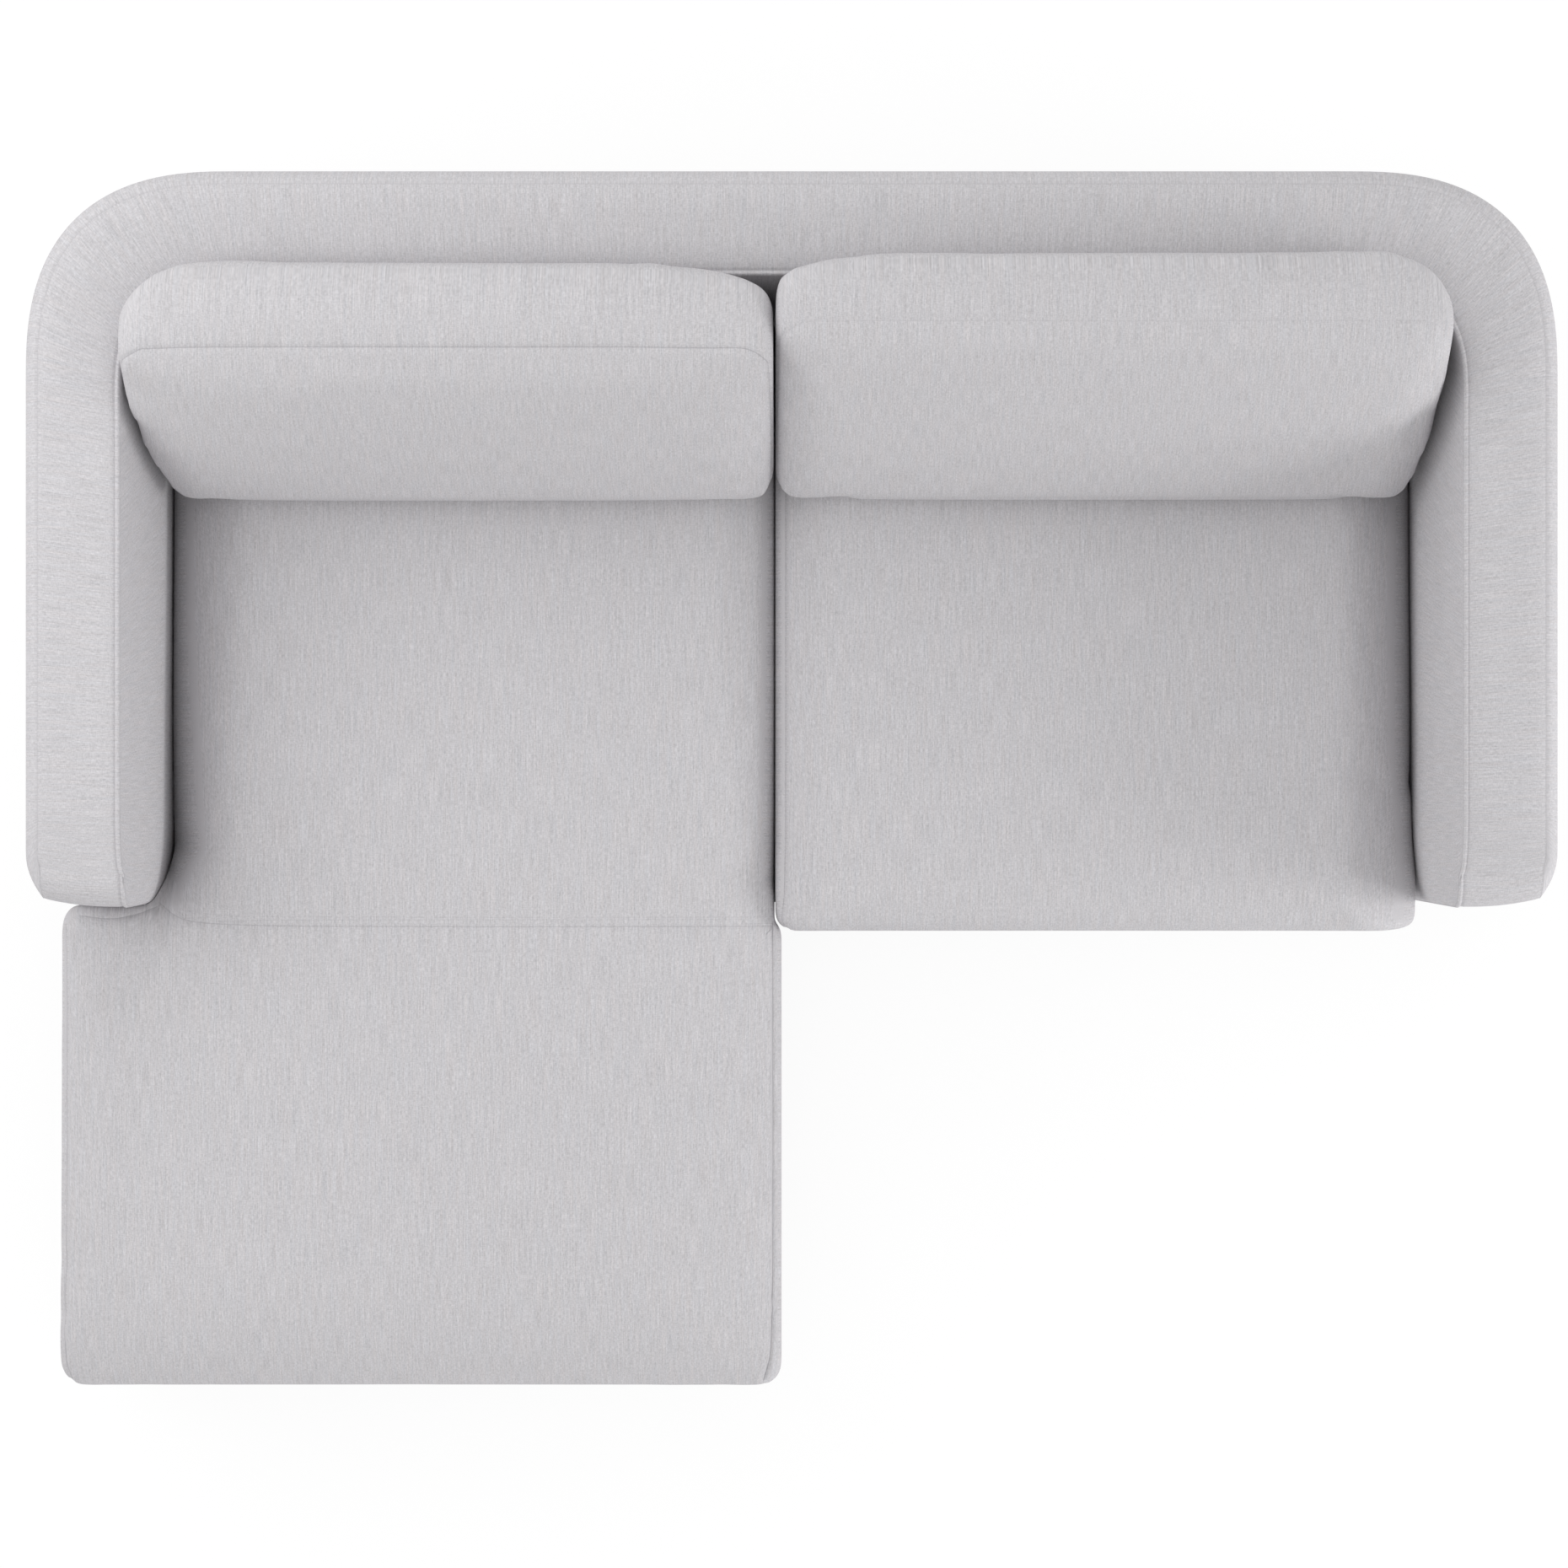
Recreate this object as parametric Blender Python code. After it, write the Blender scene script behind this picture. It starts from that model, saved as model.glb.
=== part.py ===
"""Sectional sofa with a chaise on its left, loose seat cushions and loose back cushions.

Metres, +Z up. X runs along the back, to the right of a person who looks at the sofa from its front.
The front faces -Y. The origin is on the floor, under the middle of the sofa's box.
"""

import math

import bmesh
import bpy
from mathutils import Vector

# Overall sizes
WIDTH = 2.100
DEPTH = 1.690
BODY_DEPTH = 1.010
WRAP_HEIGHT = 0.660
UNDERSIDE = 0.100

# Fit between neighbours at rest
GAP = 0.0003

# Arms and back, one upholstered wrap
ARM_THICKNESS = 0.178
BACK_THICKNESS = 0.191
OUTER_CORNER = 0.285
INNER_CORNER_TOP = 0.160
INNER_CORNER_FOOT = 0.001
CORNER_POWER = 2.6
ARM_OUTER_FRONT_CORNER = 0.062
ARM_INNER_FRONT_CORNER = 0.036
OUTER_SHOULDER = 0.0235
OUTER_SHOULDER_DROP = 0.075
INNER_SLOPE = 0.042
INNER_SLOPE_DROP = 0.225
FRONT_ROLL = 0.045
TOP_CROWN = 0.006
WRAP_COVER = 0.0025
WRAP_COVER_EASE = 0.0008
FOAM_TOP = 0.030
FOAM_SIDE = 0.025
FOAM_JOINT_SETBACK = 0.020
LINER_CORNER = 0.0008
FRONT_CORNER_STEPS = 3
ARM_STEPS = 3
CORNER_STEPS = 7
BACK_STEPS = 3
SHOULDER_SHARES = (0.0, 0.08, 0.28, 0.6, 1.0)
SLOPE_SHARES = (0.65, 1.0)

# Timber frames in the wrap
FRAME_BAR = 0.045
ARM_FRAME_BAY_COUNT = 3
BACK_FRAME_BAY_COUNT = 7
FRAME_TIER_COUNT = 2

# Bases
RAIL = 0.025
RAIL_HEIGHT = 0.146
SEAT_DIVIDE = -0.0235
BASE_COVER = 0.0020
WEBBING = 0.0020
STRAP = 0.060
DECK_CLOTH = 0.0012
DUST_COVER = 0.0010
CHAISE_BASE_INSET = 0.015
CONNECTOR_LENGTH = 0.090
CONNECTOR_WIDTH = 0.050
CONNECTOR_THICKNESS = 0.003
CONNECTOR_CLEAR = 0.030

# Legs
GLIDE_HEIGHT = 0.005
GLIDE_RADIUS = 0.021
FLANGE = 0.090
FLANGE_THICKNESS = 0.005
LEG_TOP_RADIUS = 0.032
LEG_FOOT_RADIUS = 0.024
LEG_INSET = 0.075
LEG_SIDES = 20

# Seat cushions
SEAT_EDGE_HEIGHT = 0.165
SEAT_CROWN = 0.018
SEAT_CROWN_REACH = 0.110
SEAT_OVERHANG = 0.038
SEAT_ARM_EASE = 0.0035
SEAT_DIVIDE_EASE = 0.0005
SEAT_CORNER = 0.028
SEAT_SIDE_PUFF = 0.0040
SEAT_FRONT_PUFF = 0.0100
CHAISE_SIDE_PUFF = 0.0140
CHAISE_CORNER = 0.034
CHAISE_NOTCH = 0.020
CHAISE_ARM_INSET = 0.0165
CHAISE_ARM_EASE = 0.0030
SIDE_LEVELS = (0.96, 0.80, 0.55, 0.10, 0.0)
SWELL_FOOT = 0.12
SWELL_HEAD = 0.08
SWELL_POWER = 0.7

# Back cushions
BACK_CUSHION_SHOW = 0.1234
BACK_CUSHION_FOOT = 0.242
BACK_CUSHION_LEAN = 0.185
BACK_CUSHION_EASE = 0.012
BACK_CUSHION_CORNER_EASE = 0.016
BACK_CUSHION_PUFF = 0.022
BACK_CUSHION_CROWN = 0.010
BACK_CUSHION_OVERHANG = 0.015
BACK_CUSHION_LEAN_OUT = 0.30
BACK_CUSHION_TOP_DROP = 0.030
BACK_CUSHION_ROUND = 0.050
BACK_CUSHION_END = 0.070
BACK_CUSHION_END_SHRINK = 0.20
BACK_CUSHION_ARM_EASE = 0.014
BACK_CUSHION_DIVIDE_EASE = 0.0035
BACK_CUSHION_LEFT_FLARE = 0.040
BACK_CUSHION_RIGHT_FLARE = 0.028
BACK_CUSHION_END_STEPS = ((0.0, 1.0), (0.12, 0.55), (0.38, 0.22), (0.70, 0.05), (1.0, 0.0))
BACK_CUSHION_BAY_COUNT = 5

# Cushion covers, cores and zips
CUSHION_COVER = 0.0025
CORE_INSET = 0.034
CORE_EDGE = 0.010
ZIP_WIDTH = 0.012
ZIP_THICKNESS = 0.0018
ZIP_RISE = 0.045
BACK_ZIP_RISE = 0.020

# Places that follow from the sizes
HALF_WIDTH = WIDTH / 2
SEAT_HALF = HALF_WIDTH - ARM_THICKNESS
BACK_Y = DEPTH / 2
CHAISE_FRONT_Y = -DEPTH / 2
ARM_FRONT_Y = BACK_Y - BODY_DEPTH
SEAT_BACK_Y = BACK_Y - BACK_THICKNESS
LINER_OUTSET = OUTER_SHOULDER + FOAM_SIDE
LINER_INSET = INNER_SLOPE + FOAM_SIDE
LINER_FRONT_Y = ARM_FRONT_Y + FRONT_ROLL + FOAM_SIDE
LINER_TOP = WRAP_HEIGHT - FOAM_TOP
RAIL_TOP = UNDERSIDE + RAIL_HEIGHT
WEBBING_Z = RAIL_TOP + GAP
DECK_CLOTH_Z = WEBBING_Z + WEBBING + GAP
SEAT_BOTTOM_Z = DECK_CLOTH_Z + DECK_CLOTH + GAP
SEAT_EDGE_Z = SEAT_BOTTOM_Z + SEAT_EDGE_HEIGHT
SEAT_TOP_Z = SEAT_EDGE_Z + SEAT_CROWN
DUST_Z = UNDERSIDE - GAP - DUST_COVER
LEG_TOP_Z = DUST_Z - GAP
BASE_HALF = SEAT_HALF - GAP
BASE_FRONT = ARM_FRONT_Y + BASE_COVER + GAP
BASE_BACK = SEAT_BACK_Y - GAP
CHAISE_LEFT_X = -HALF_WIDTH + CHAISE_ARM_INSET
CHAISE_BASE_LEFT = CHAISE_LEFT_X + CHAISE_BASE_INSET
CHAISE_BASE_RIGHT = SEAT_DIVIDE - CHAISE_BASE_INSET / 2
CHAISE_BASE_FRONT = CHAISE_FRONT_Y + CHAISE_BASE_INSET
CHAISE_BASE_BACK = ARM_FRONT_Y - GAP
SEAT_FRONT_Y = ARM_FRONT_Y - SEAT_OVERHANG
SEAT_REAR_Y = SEAT_BACK_Y - SEAT_ARM_EASE
SEAT_SIDE_X = SEAT_HALF - SEAT_ARM_EASE


def clear_scene():
    """Removes every object of the open scene."""
    for old in list(bpy.data.objects):
        bpy.data.objects.remove(old, do_unlink=True)


def make_material(name, colour, roughness, metallic=0.0):
    """Makes one plain shaded material."""
    finish = bpy.data.materials.new(name)
    finish.use_nodes = True
    shader = finish.node_tree.nodes["Principled BSDF"]
    shader.inputs["Base Color"].default_value = (*colour, 1.0)
    shader.inputs["Roughness"].default_value = roughness
    shader.inputs["Metallic"].default_value = metallic
    finish.diffuse_color = (*colour, 1.0)
    return finish


def add_object(name, bm, finish, smooth=False):
    """Turns a bmesh into a named object with its material."""
    bmesh.ops.recalc_face_normals(bm, faces=bm.faces)
    mesh = bpy.data.meshes.new(name)
    bm.to_mesh(mesh)
    bm.free()
    if smooth:
        mesh.shade_smooth()
        mesh.set_sharp_from_angle(angle=math.radians(50))
    mesh.materials.append(finish)
    piece = bpy.data.objects.new(name, mesh)
    bpy.context.collection.objects.link(piece)
    return piece


def add_wall(piece, thickness):
    """Gives an open surface a wall on its inner side."""
    wall = piece.modifiers.new("wall", "SOLIDIFY")
    wall.thickness = thickness
    wall.offset = -1.0
    wall.use_even_offset = True
    wall.use_rim = True


def add_box(name, low, high, finish):
    """Makes a box between two corners."""
    bm = bmesh.new()
    made = bmesh.ops.create_cube(bm, size=1.0)
    low = Vector(low)
    size = Vector(high) - low
    for vert in made["verts"]:
        share = vert.co + Vector((0.5, 0.5, 0.5))
        vert.co = low + share * size
    return add_object(name, bm, finish)


def steps(start, end, count):
    """Lists count + 1 evenly spaced values from start to end."""
    return [start + (end - start) * index / count for index in range(count + 1)]


def bar_breaks(start, end, bays, bar):
    """Lists the edges of the bars that divide a length into equal bays."""
    bay = (end - start - (bays + 1) * bar) / bays
    breaks = []
    for index in range(bays + 1):
        edge = start + index * (bar + bay)
        breaks += [edge, edge + bar]
    return breaks


def add_lattice(name, first, second, thickness, place, finish):
    """Makes one flat piece of crossing bars.

    first and second list the edges of the bars, and place turns (u, v, w) into a point.
    """
    bm = bmesh.new()
    verts = [[bm.verts.new(place(u, v, 0.0)) for v in second] for u in first]
    for i in range(len(first) - 1):
        for j in range(len(second) - 1):
            if i % 2 and j % 2:
                continue
            bm.faces.new((verts[i][j], verts[i + 1][j], verts[i + 1][j + 1], verts[i][j + 1]))
    made = bmesh.ops.extrude_face_region(bm, geom=list(bm.faces), use_keep_orig=True)
    shift = place(first[0], second[0], thickness) - place(first[0], second[0], 0.0)
    moved = [item for item in made["geom"] if isinstance(item, bmesh.types.BMVert)]
    bmesh.ops.translate(bm, verts=moved, vec=shift)
    bmesh.ops.recalc_face_normals(bm, faces=bm.faces)
    bmesh.ops.dissolve_limit(bm, angle_limit=math.radians(1), verts=bm.verts, edges=bm.edges)
    return add_object(name, bm, finish)


# Arms and back


def half_chain(side_x, back_y, corner, front_y, front_corner, outward):
    """Lists half an edge of the wrap, from the arm's front to the middle of the back."""
    chain = []
    centre_x = side_x - outward * front_corner
    for angle in steps(0.0, math.pi / 2, FRONT_CORNER_STEPS)[:-1]:
        x = centre_x + outward * front_corner * math.sin(angle)
        chain.append((x, front_y + front_corner * (1 - math.cos(angle))))
    for y in steps(front_y + front_corner, back_y - corner, ARM_STEPS)[:-1]:
        chain.append((side_x, y))
    for angle in steps(0.0, math.pi / 2, CORNER_STEPS)[:-1]:
        x = side_x - corner + corner * math.cos(angle) ** (2 / CORNER_POWER)
        chain.append((x, back_y - corner + corner * math.sin(angle) ** (2 / CORNER_POWER)))
    for x in steps(side_x - corner, 0.0, BACK_STEPS):
        chain.append((x, back_y))
    return chain


def whole_chain(half):
    """Mirrors half an edge into the whole edge, from the left arm's front to the right one's."""
    return [(-x, y) for x, y in half] + half[-2::-1]


def round_over(depth, reach, drop):
    """Says how far a rounded edge still draws in at a depth below its top."""
    if depth >= drop:
        return 0.0
    return reach * (1 - math.sqrt(1 - (1 - depth / drop) ** 2))


def inner_slope(depth):
    """Says how far the inner face of an arm or the back draws in at a depth below its top."""
    return INNER_SLOPE * max(0.0, 1 - depth / INNER_SLOPE_DROP)


def inner_corner(depth):
    """Gives the reach of the wrap's inner corner at a depth below its top."""
    share = inner_slope(depth) / INNER_SLOPE
    return INNER_CORNER_FOOT + (INNER_CORNER_TOP - INNER_CORNER_FOOT) * share


def wrap_edges(depth):
    """Lists the outer and the inner edge of the wrap at a depth below its top."""
    shoulder = round_over(depth, OUTER_SHOULDER, OUTER_SHOULDER_DROP)
    slope = inner_slope(depth)
    front_y = ARM_FRONT_Y + round_over(depth, FRONT_ROLL, FRONT_ROLL)
    outer = half_chain(
        HALF_WIDTH - shoulder,
        BACK_Y - shoulder,
        OUTER_CORNER - shoulder,
        front_y,
        ARM_OUTER_FRONT_CORNER - shoulder,
        1,
    )
    inner_corner_share = 1 - slope / (2 * INNER_SLOPE)
    inner = half_chain(
        SEAT_HALF + slope,
        SEAT_BACK_Y + slope,
        inner_corner(depth),
        front_y,
        ARM_INNER_FRONT_CORNER * inner_corner_share,
        -1,
    )
    return whole_chain(outer), whole_chain(inner)


def liner_edges(ease):
    """Lists the outer and the inner edge of the hollow inside the foam, drawn in by ease."""
    outer = half_chain(
        HALF_WIDTH - LINER_OUTSET - ease,
        BACK_Y - LINER_OUTSET - ease,
        OUTER_CORNER - LINER_OUTSET - ease,
        LINER_FRONT_Y + ease,
        LINER_CORNER,
        1,
    )
    inner = half_chain(
        SEAT_HALF + LINER_INSET + ease,
        SEAT_BACK_Y + LINER_INSET + ease,
        INNER_CORNER_TOP + FOAM_SIDE + ease,
        LINER_FRONT_Y + ease,
        LINER_CORNER,
        -1,
    )
    return whole_chain(outer), whole_chain(inner)


def ring_of(bm, edges, z):
    """Adds the vertices of one closed ring, outer edge first and inner edge back."""
    outer, inner = edges
    return [bm.verts.new((x, y, z)) for x, y in outer + inner[::-1]]


def skin(bm, upper, lower):
    """Joins two rings of vertices with a band of faces."""
    faces = []
    for index in range(len(upper)):
        after = (index + 1) % len(upper)
        faces.append(bm.faces.new((upper[index], upper[after], lower[after], lower[index])))
    return faces


def cap_wrap(bm, ring, crown):
    """Closes a ring across the wrap, raised along its middle by crown."""
    count = len(ring) // 2
    outer = ring[:count]
    inner = ring[count:][::-1]
    middle = []
    for index in range(count):
        point = (outer[index].co + inner[index].co) / 2
        rise = crown if 0 < index < count - 1 else 0.0
        middle.append(bm.verts.new(point + Vector((0, 0, rise))))
    for index in range(count - 1):
        after = index + 1
        bm.faces.new((outer[index], outer[after], middle[after], middle[index]))
        bm.faces.new((middle[index], middle[after], inner[after], inner[index]))
    bm.faces.new((outer[0], middle[0], inner[0]))
    bm.faces.new((outer[-1], inner[-1], middle[-1]))


def wrap_surface(ease):
    """Builds the skin of the arms and back, open below, moved inward by ease."""
    depths = [OUTER_SHOULDER_DROP * share for share in SHOULDER_SHARES]
    depths += [INNER_SLOPE_DROP * share for share in SLOPE_SHARES]
    depths.append(WRAP_HEIGHT - UNDERSIDE)
    bm = bmesh.new()
    rings = [ring_of(bm, wrap_edges(depth), WRAP_HEIGHT - depth) for depth in sorted(depths)]
    for upper, lower in zip(rings, rings[1:]):
        skin(bm, upper, lower)
    cap_wrap(bm, rings[0], TOP_CROWN)
    bmesh.ops.recalc_face_normals(bm, faces=bm.faces)
    bm.normal_update()
    if sum(face.normal.z * face.calc_area() for face in bm.faces) < 0:
        bmesh.ops.reverse_faces(bm, faces=bm.faces)
        bm.normal_update()
    moves = [vert.normal * vert.calc_shell_factor() * ease for vert in bm.verts]
    for vert, move in zip(bm.verts, moves):
        vert.co -= move
    for vert in rings[-1]:
        vert.co.z = UNDERSIDE
    return bm, rings[-1]


def wrap_cover(finish):
    """The fabric cover of the arms and back, sewn as one piece and open below."""
    bm, _ = wrap_surface(0.0)
    cover = add_object("wrap_cover", bm, finish, smooth=True)
    add_wall(cover, WRAP_COVER)


def foam_pads(finish):
    """The foam under the cover in three pads, hollow for the timber frames."""
    bm, outside = wrap_surface(WRAP_COVER + WRAP_COVER_EASE)
    low = ring_of(bm, liner_edges(0.0), UNDERSIDE)
    high = ring_of(bm, liner_edges(0.0), LINER_TOP)
    skin(bm, outside, low)
    skin(bm, low, high)
    cap_wrap(bm, high, 0.0)
    bmesh.ops.recalc_face_normals(bm, faces=bm.faces)
    joint = SEAT_HALF + INNER_SLOPE - INNER_CORNER_TOP - FOAM_JOINT_SETBACK
    cuts = {
        "left_arm_foam": ((-joint - GAP / 2, 1),),
        "back_foam": ((-joint + GAP / 2, -1), (joint - GAP / 2, 1)),
        "right_arm_foam": ((joint + GAP / 2, -1),),
    }
    for name, planes in cuts.items():
        pad = bm.copy()
        for x, away in planes:
            trim(pad, x, away)
        add_object(name, pad, finish, smooth=True)
    bm.free()


def trim(bm, x, away):
    """Cuts a closed body at a plane across X, drops the side that away points to and closes it."""
    body = bm.verts[:] + bm.edges[:] + bm.faces[:]
    cut = bmesh.ops.bisect_plane(bm, geom=body, plane_co=(x, 0, 0), plane_no=(away, 0, 0), clear_outer=True)
    rim = [item for item in cut["geom_cut"] if isinstance(item, bmesh.types.BMEdge)]
    bmesh.ops.holes_fill(bm, edges=rim, sides=0)


def liner_slice(name, first, last, finish):
    """A block that fills the hollow of the foam between two places along it."""
    outer, inner = liner_edges(GAP)
    loop = outer[first : last + 1] + inner[first : last + 1][::-1]
    bm = bmesh.new()
    low = [bm.verts.new((x, y, UNDERSIDE)) for x, y in loop]
    high = [bm.verts.new((x, y, LINER_TOP - GAP)) for x, y in loop]
    skin(bm, high, low)
    bm.faces.new(low)
    bm.faces.new(high)
    add_object(name, bm, finish)


def arm_frame(name, side, finish):
    """A glued timber ladder that stands in one arm."""
    inner_x = SEAT_HALF + LINER_INSET + GAP
    thickness = ARM_THICKNESS - LINER_INSET - LINER_OUTSET - 2 * GAP
    rear = SEAT_BACK_Y + INNER_SLOPE - INNER_CORNER_TOP - GAP
    along = bar_breaks(LINER_FRONT_Y + GAP, rear, ARM_FRAME_BAY_COUNT, FRAME_BAR)
    tall = bar_breaks(UNDERSIDE, LINER_TOP - GAP, FRAME_TIER_COUNT, FRAME_BAR)

    def place(u, v, w):
        return Vector((side * (inner_x + w), u, v))

    add_lattice(name, along, tall, thickness, place, finish)


def back_frame(finish):
    """A glued timber ladder that stands in the back."""
    front_y = SEAT_BACK_Y + LINER_INSET + GAP
    thickness = BACK_THICKNESS - LINER_INSET - LINER_OUTSET - 2 * GAP
    half = SEAT_HALF + INNER_SLOPE - INNER_CORNER_TOP - GAP
    along = bar_breaks(-half, half, BACK_FRAME_BAY_COUNT, FRAME_BAR)
    tall = bar_breaks(UNDERSIDE, LINER_TOP - GAP, FRAME_TIER_COUNT, FRAME_BAR)

    def place(u, v, w):
        return Vector((u, front_y + w, v))

    add_lattice("back_frame", along, tall, thickness, place, finish)


def corner_blocks(finish):
    """The curved blocks that join the arm frames to the back frame."""
    first = FRONT_CORNER_STEPS + ARM_STEPS
    last = first + CORNER_STEPS
    end = 2 * (last + BACK_STEPS)
    liner_slice("left_corner_block", first, last, finish)
    liner_slice("right_corner_block", end - last, end - first, finish)


# Bases


def base_rails(timber):
    """The rails of the main base."""
    low = UNDERSIDE
    high = RAIL_TOP
    left = -BASE_HALF
    inner_front = BASE_FRONT + RAIL + GAP
    inner_back = BASE_BACK - RAIL - GAP
    add_box("base_front_rail", (left, BASE_FRONT, low), (BASE_HALF, BASE_FRONT + RAIL, high), timber)
    add_box("base_back_rail", (left, BASE_BACK - RAIL, low), (BASE_HALF, BASE_BACK, high), timber)
    sides = {
        "base_left_rail": left,
        "base_centre_rail": SEAT_DIVIDE - RAIL / 2,
        "base_right_rail": BASE_HALF - RAIL,
    }
    for name, x in sides.items():
        add_box(name, (x, inner_front, low), (x + RAIL, inner_back, high), timber)


def chaise_box():
    """Gives the outer faces of the chaise rails: left, right, front, back."""
    skin_depth = BASE_COVER + GAP
    left = CHAISE_BASE_LEFT + skin_depth
    right = CHAISE_BASE_RIGHT - skin_depth
    return left, right, CHAISE_BASE_FRONT + skin_depth, CHAISE_BASE_BACK


def chaise_rails(timber):
    """The rails of the chaise base."""
    left, right, front, back = chaise_box()
    low = UNDERSIDE
    high = RAIL_TOP
    inner_front = front + RAIL + GAP
    inner_back = back - RAIL - GAP
    middle = (left + right) / 2
    add_box("chaise_front_rail", (left, front, low), (right, front + RAIL, high), timber)
    add_box("chaise_back_rail", (left, back - RAIL, low), (right, back, high), timber)
    places = {
        "chaise_left_rail": left,
        "chaise_centre_rail": middle - RAIL / 2,
        "chaise_right_rail": right - RAIL,
    }
    for name, x in places.items():
        add_box(name, (x, inner_front, low), (x + RAIL, inner_back, high), timber)


def connectors(steel):
    """The steel plates under the rails that join the chaise base to the main base."""
    _, _, _, back = chaise_box()
    top = DUST_Z - GAP
    aside = FLANGE / 2 + CONNECTOR_CLEAR + CONNECTOR_WIDTH / 2
    places = {
        "left_connector": -BASE_HALF + LEG_INSET + aside,
        "right_connector": SEAT_DIVIDE - aside,
    }
    for name, x in places.items():
        low = (x - CONNECTOR_WIDTH / 2, back - CONNECTOR_LENGTH / 2, top - CONNECTOR_THICKNESS)
        high = (x + CONNECTOR_WIDTH / 2, back + CONNECTOR_LENGTH / 2, top)
        add_box(name, low, high, steel)


def strap_breaks(start, end):
    """Lists the edges of webbing straps that cover a length with gaps about one strap wide."""
    bays = max(1, round((end - start - STRAP) / (2 * STRAP)))
    return bar_breaks(start, end, bays, STRAP)


def webbing(finish):
    """The stretched webbing over the three seat bays."""
    chaise_left, chaise_right, chaise_front, chaise_back = chaise_box()
    bays = {
        "left_webbing": (-BASE_HALF, SEAT_DIVIDE - GAP, BASE_FRONT, BASE_BACK),
        "right_webbing": (SEAT_DIVIDE + GAP, BASE_HALF, BASE_FRONT, BASE_BACK),
        "chaise_webbing": (chaise_left, chaise_right, chaise_front, chaise_back),
    }

    def place(u, v, w):
        return Vector((u, v, WEBBING_Z + w))

    for name, (left, right, front, back) in bays.items():
        add_lattice(name, strap_breaks(left, right), strap_breaks(front, back), WEBBING, place, finish)


def deck_cloths(finish):
    """The cloth over the webbing, one for each base."""
    left, right, front, back = chaise_box()
    top = DECK_CLOTH_Z + DECK_CLOTH
    add_box("main_deck_cloth", (-BASE_HALF, BASE_FRONT, DECK_CLOTH_Z), (BASE_HALF, BASE_BACK, top), finish)
    add_box("chaise_deck_cloth", (left, front, DECK_CLOTH_Z), (right, back, top), finish)


def dust_covers(finish):
    """The thin cloth under each base."""
    left, right, front, back = chaise_box()
    top = DUST_Z + DUST_COVER
    add_box("main_dust_cover", (-BASE_HALF, BASE_FRONT, DUST_Z), (BASE_HALF, BASE_BACK, top), finish)
    add_box("chaise_dust_cover", (left, front, DUST_Z), (right, back, top), finish)


def base_covers(fabric):
    """The fabric over the faces of the two bases."""
    add_box(
        "main_base_cover",
        (-BASE_HALF, ARM_FRONT_Y, UNDERSIDE),
        (BASE_HALF, ARM_FRONT_Y + BASE_COVER, RAIL_TOP),
        fabric,
    )
    bm = bmesh.new()
    path = [
        (CHAISE_BASE_LEFT, CHAISE_BASE_BACK),
        (CHAISE_BASE_LEFT, CHAISE_BASE_FRONT),
        (CHAISE_BASE_RIGHT, CHAISE_BASE_FRONT),
        (CHAISE_BASE_RIGHT, CHAISE_BASE_BACK),
    ]
    low = [bm.verts.new((x, y, UNDERSIDE)) for x, y in path]
    high = [bm.verts.new((x, y, RAIL_TOP)) for x, y in path]
    for index in range(3):
        bm.faces.new((low[index], low[index + 1], high[index + 1], high[index]))
    cover = add_object("chaise_base_cover", bm, fabric)
    if cover.data.polygons[1].normal.y > 0:
        cover.data.flip_normals()
    add_wall(cover, BASE_COVER)


# Legs


def round_ring(bm, centre, radius, z):
    """Adds one ring of vertices round a centre."""
    ring = []
    for index in range(LEG_SIDES):
        angle = math.tau * index / LEG_SIDES
        x = centre[0] + radius * math.cos(angle)
        ring.append(bm.verts.new((x, centre[1] + radius * math.sin(angle), z)))
    return ring


def square_ring(bm, centre, side, z):
    """Adds one square ring of vertices, as many as a round one has."""
    ring = []
    for index in range(LEG_SIDES):
        angle = math.tau * index / LEG_SIDES
        reach = side / 2 / max(abs(math.cos(angle)), abs(math.sin(angle)))
        x = centre[0] + reach * math.cos(angle)
        ring.append(bm.verts.new((x, centre[1] + reach * math.sin(angle), z)))
    return ring


def add_stack(name, bm, rings, finish):
    """Makes a solid from closed rings of vertices, listed from its top to its foot."""
    for upper, lower in zip(rings, rings[1:]):
        skin(bm, upper, lower)
    bm.faces.new(rings[0])
    bm.faces.new(rings[-1])
    return add_object(name, bm, finish, smooth=True)


def add_leg(name, centre, finish):
    """A moulded leg: a square flange screwed under the rails, and a tapered round post."""
    bm = bmesh.new()
    neck_z = LEG_TOP_Z - FLANGE_THICKNESS
    rings = [
        square_ring(bm, centre, FLANGE, LEG_TOP_Z),
        square_ring(bm, centre, FLANGE, neck_z),
        round_ring(bm, centre, LEG_TOP_RADIUS, neck_z),
        round_ring(bm, centre, LEG_FOOT_RADIUS, GLIDE_HEIGHT + GAP),
    ]
    add_stack(name, bm, rings, finish)


def add_glide(name, centre, finish):
    """A felt disc under a leg."""
    bm = bmesh.new()
    rings = [round_ring(bm, centre, GLIDE_RADIUS, z) for z in (GLIDE_HEIGHT, 0.0)]
    add_stack(name, bm, rings, finish)


def legs(plastic, felt):
    """The eight legs and the glides under them."""
    left, right, front, _ = chaise_box()
    front_y = BASE_FRONT + LEG_INSET
    back_y = BASE_BACK - LEG_INSET
    side_x = BASE_HALF - LEG_INSET
    places = {
        "front_left": (-side_x, front_y),
        "front_middle": (SEAT_DIVIDE, front_y),
        "front_right": (side_x, front_y),
        "back_left": (-side_x, back_y),
        "back_middle": (SEAT_DIVIDE, back_y),
        "back_right": (side_x, back_y),
        "chaise_left": (left + LEG_INSET, front + LEG_INSET),
        "chaise_right": (right - LEG_INSET, front + LEG_INSET),
    }
    for name, centre in places.items():
        add_leg(f"{name}_leg", centre, plastic)
        add_glide(f"{name}_glide", centre, felt)


# Seat cushions


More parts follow.
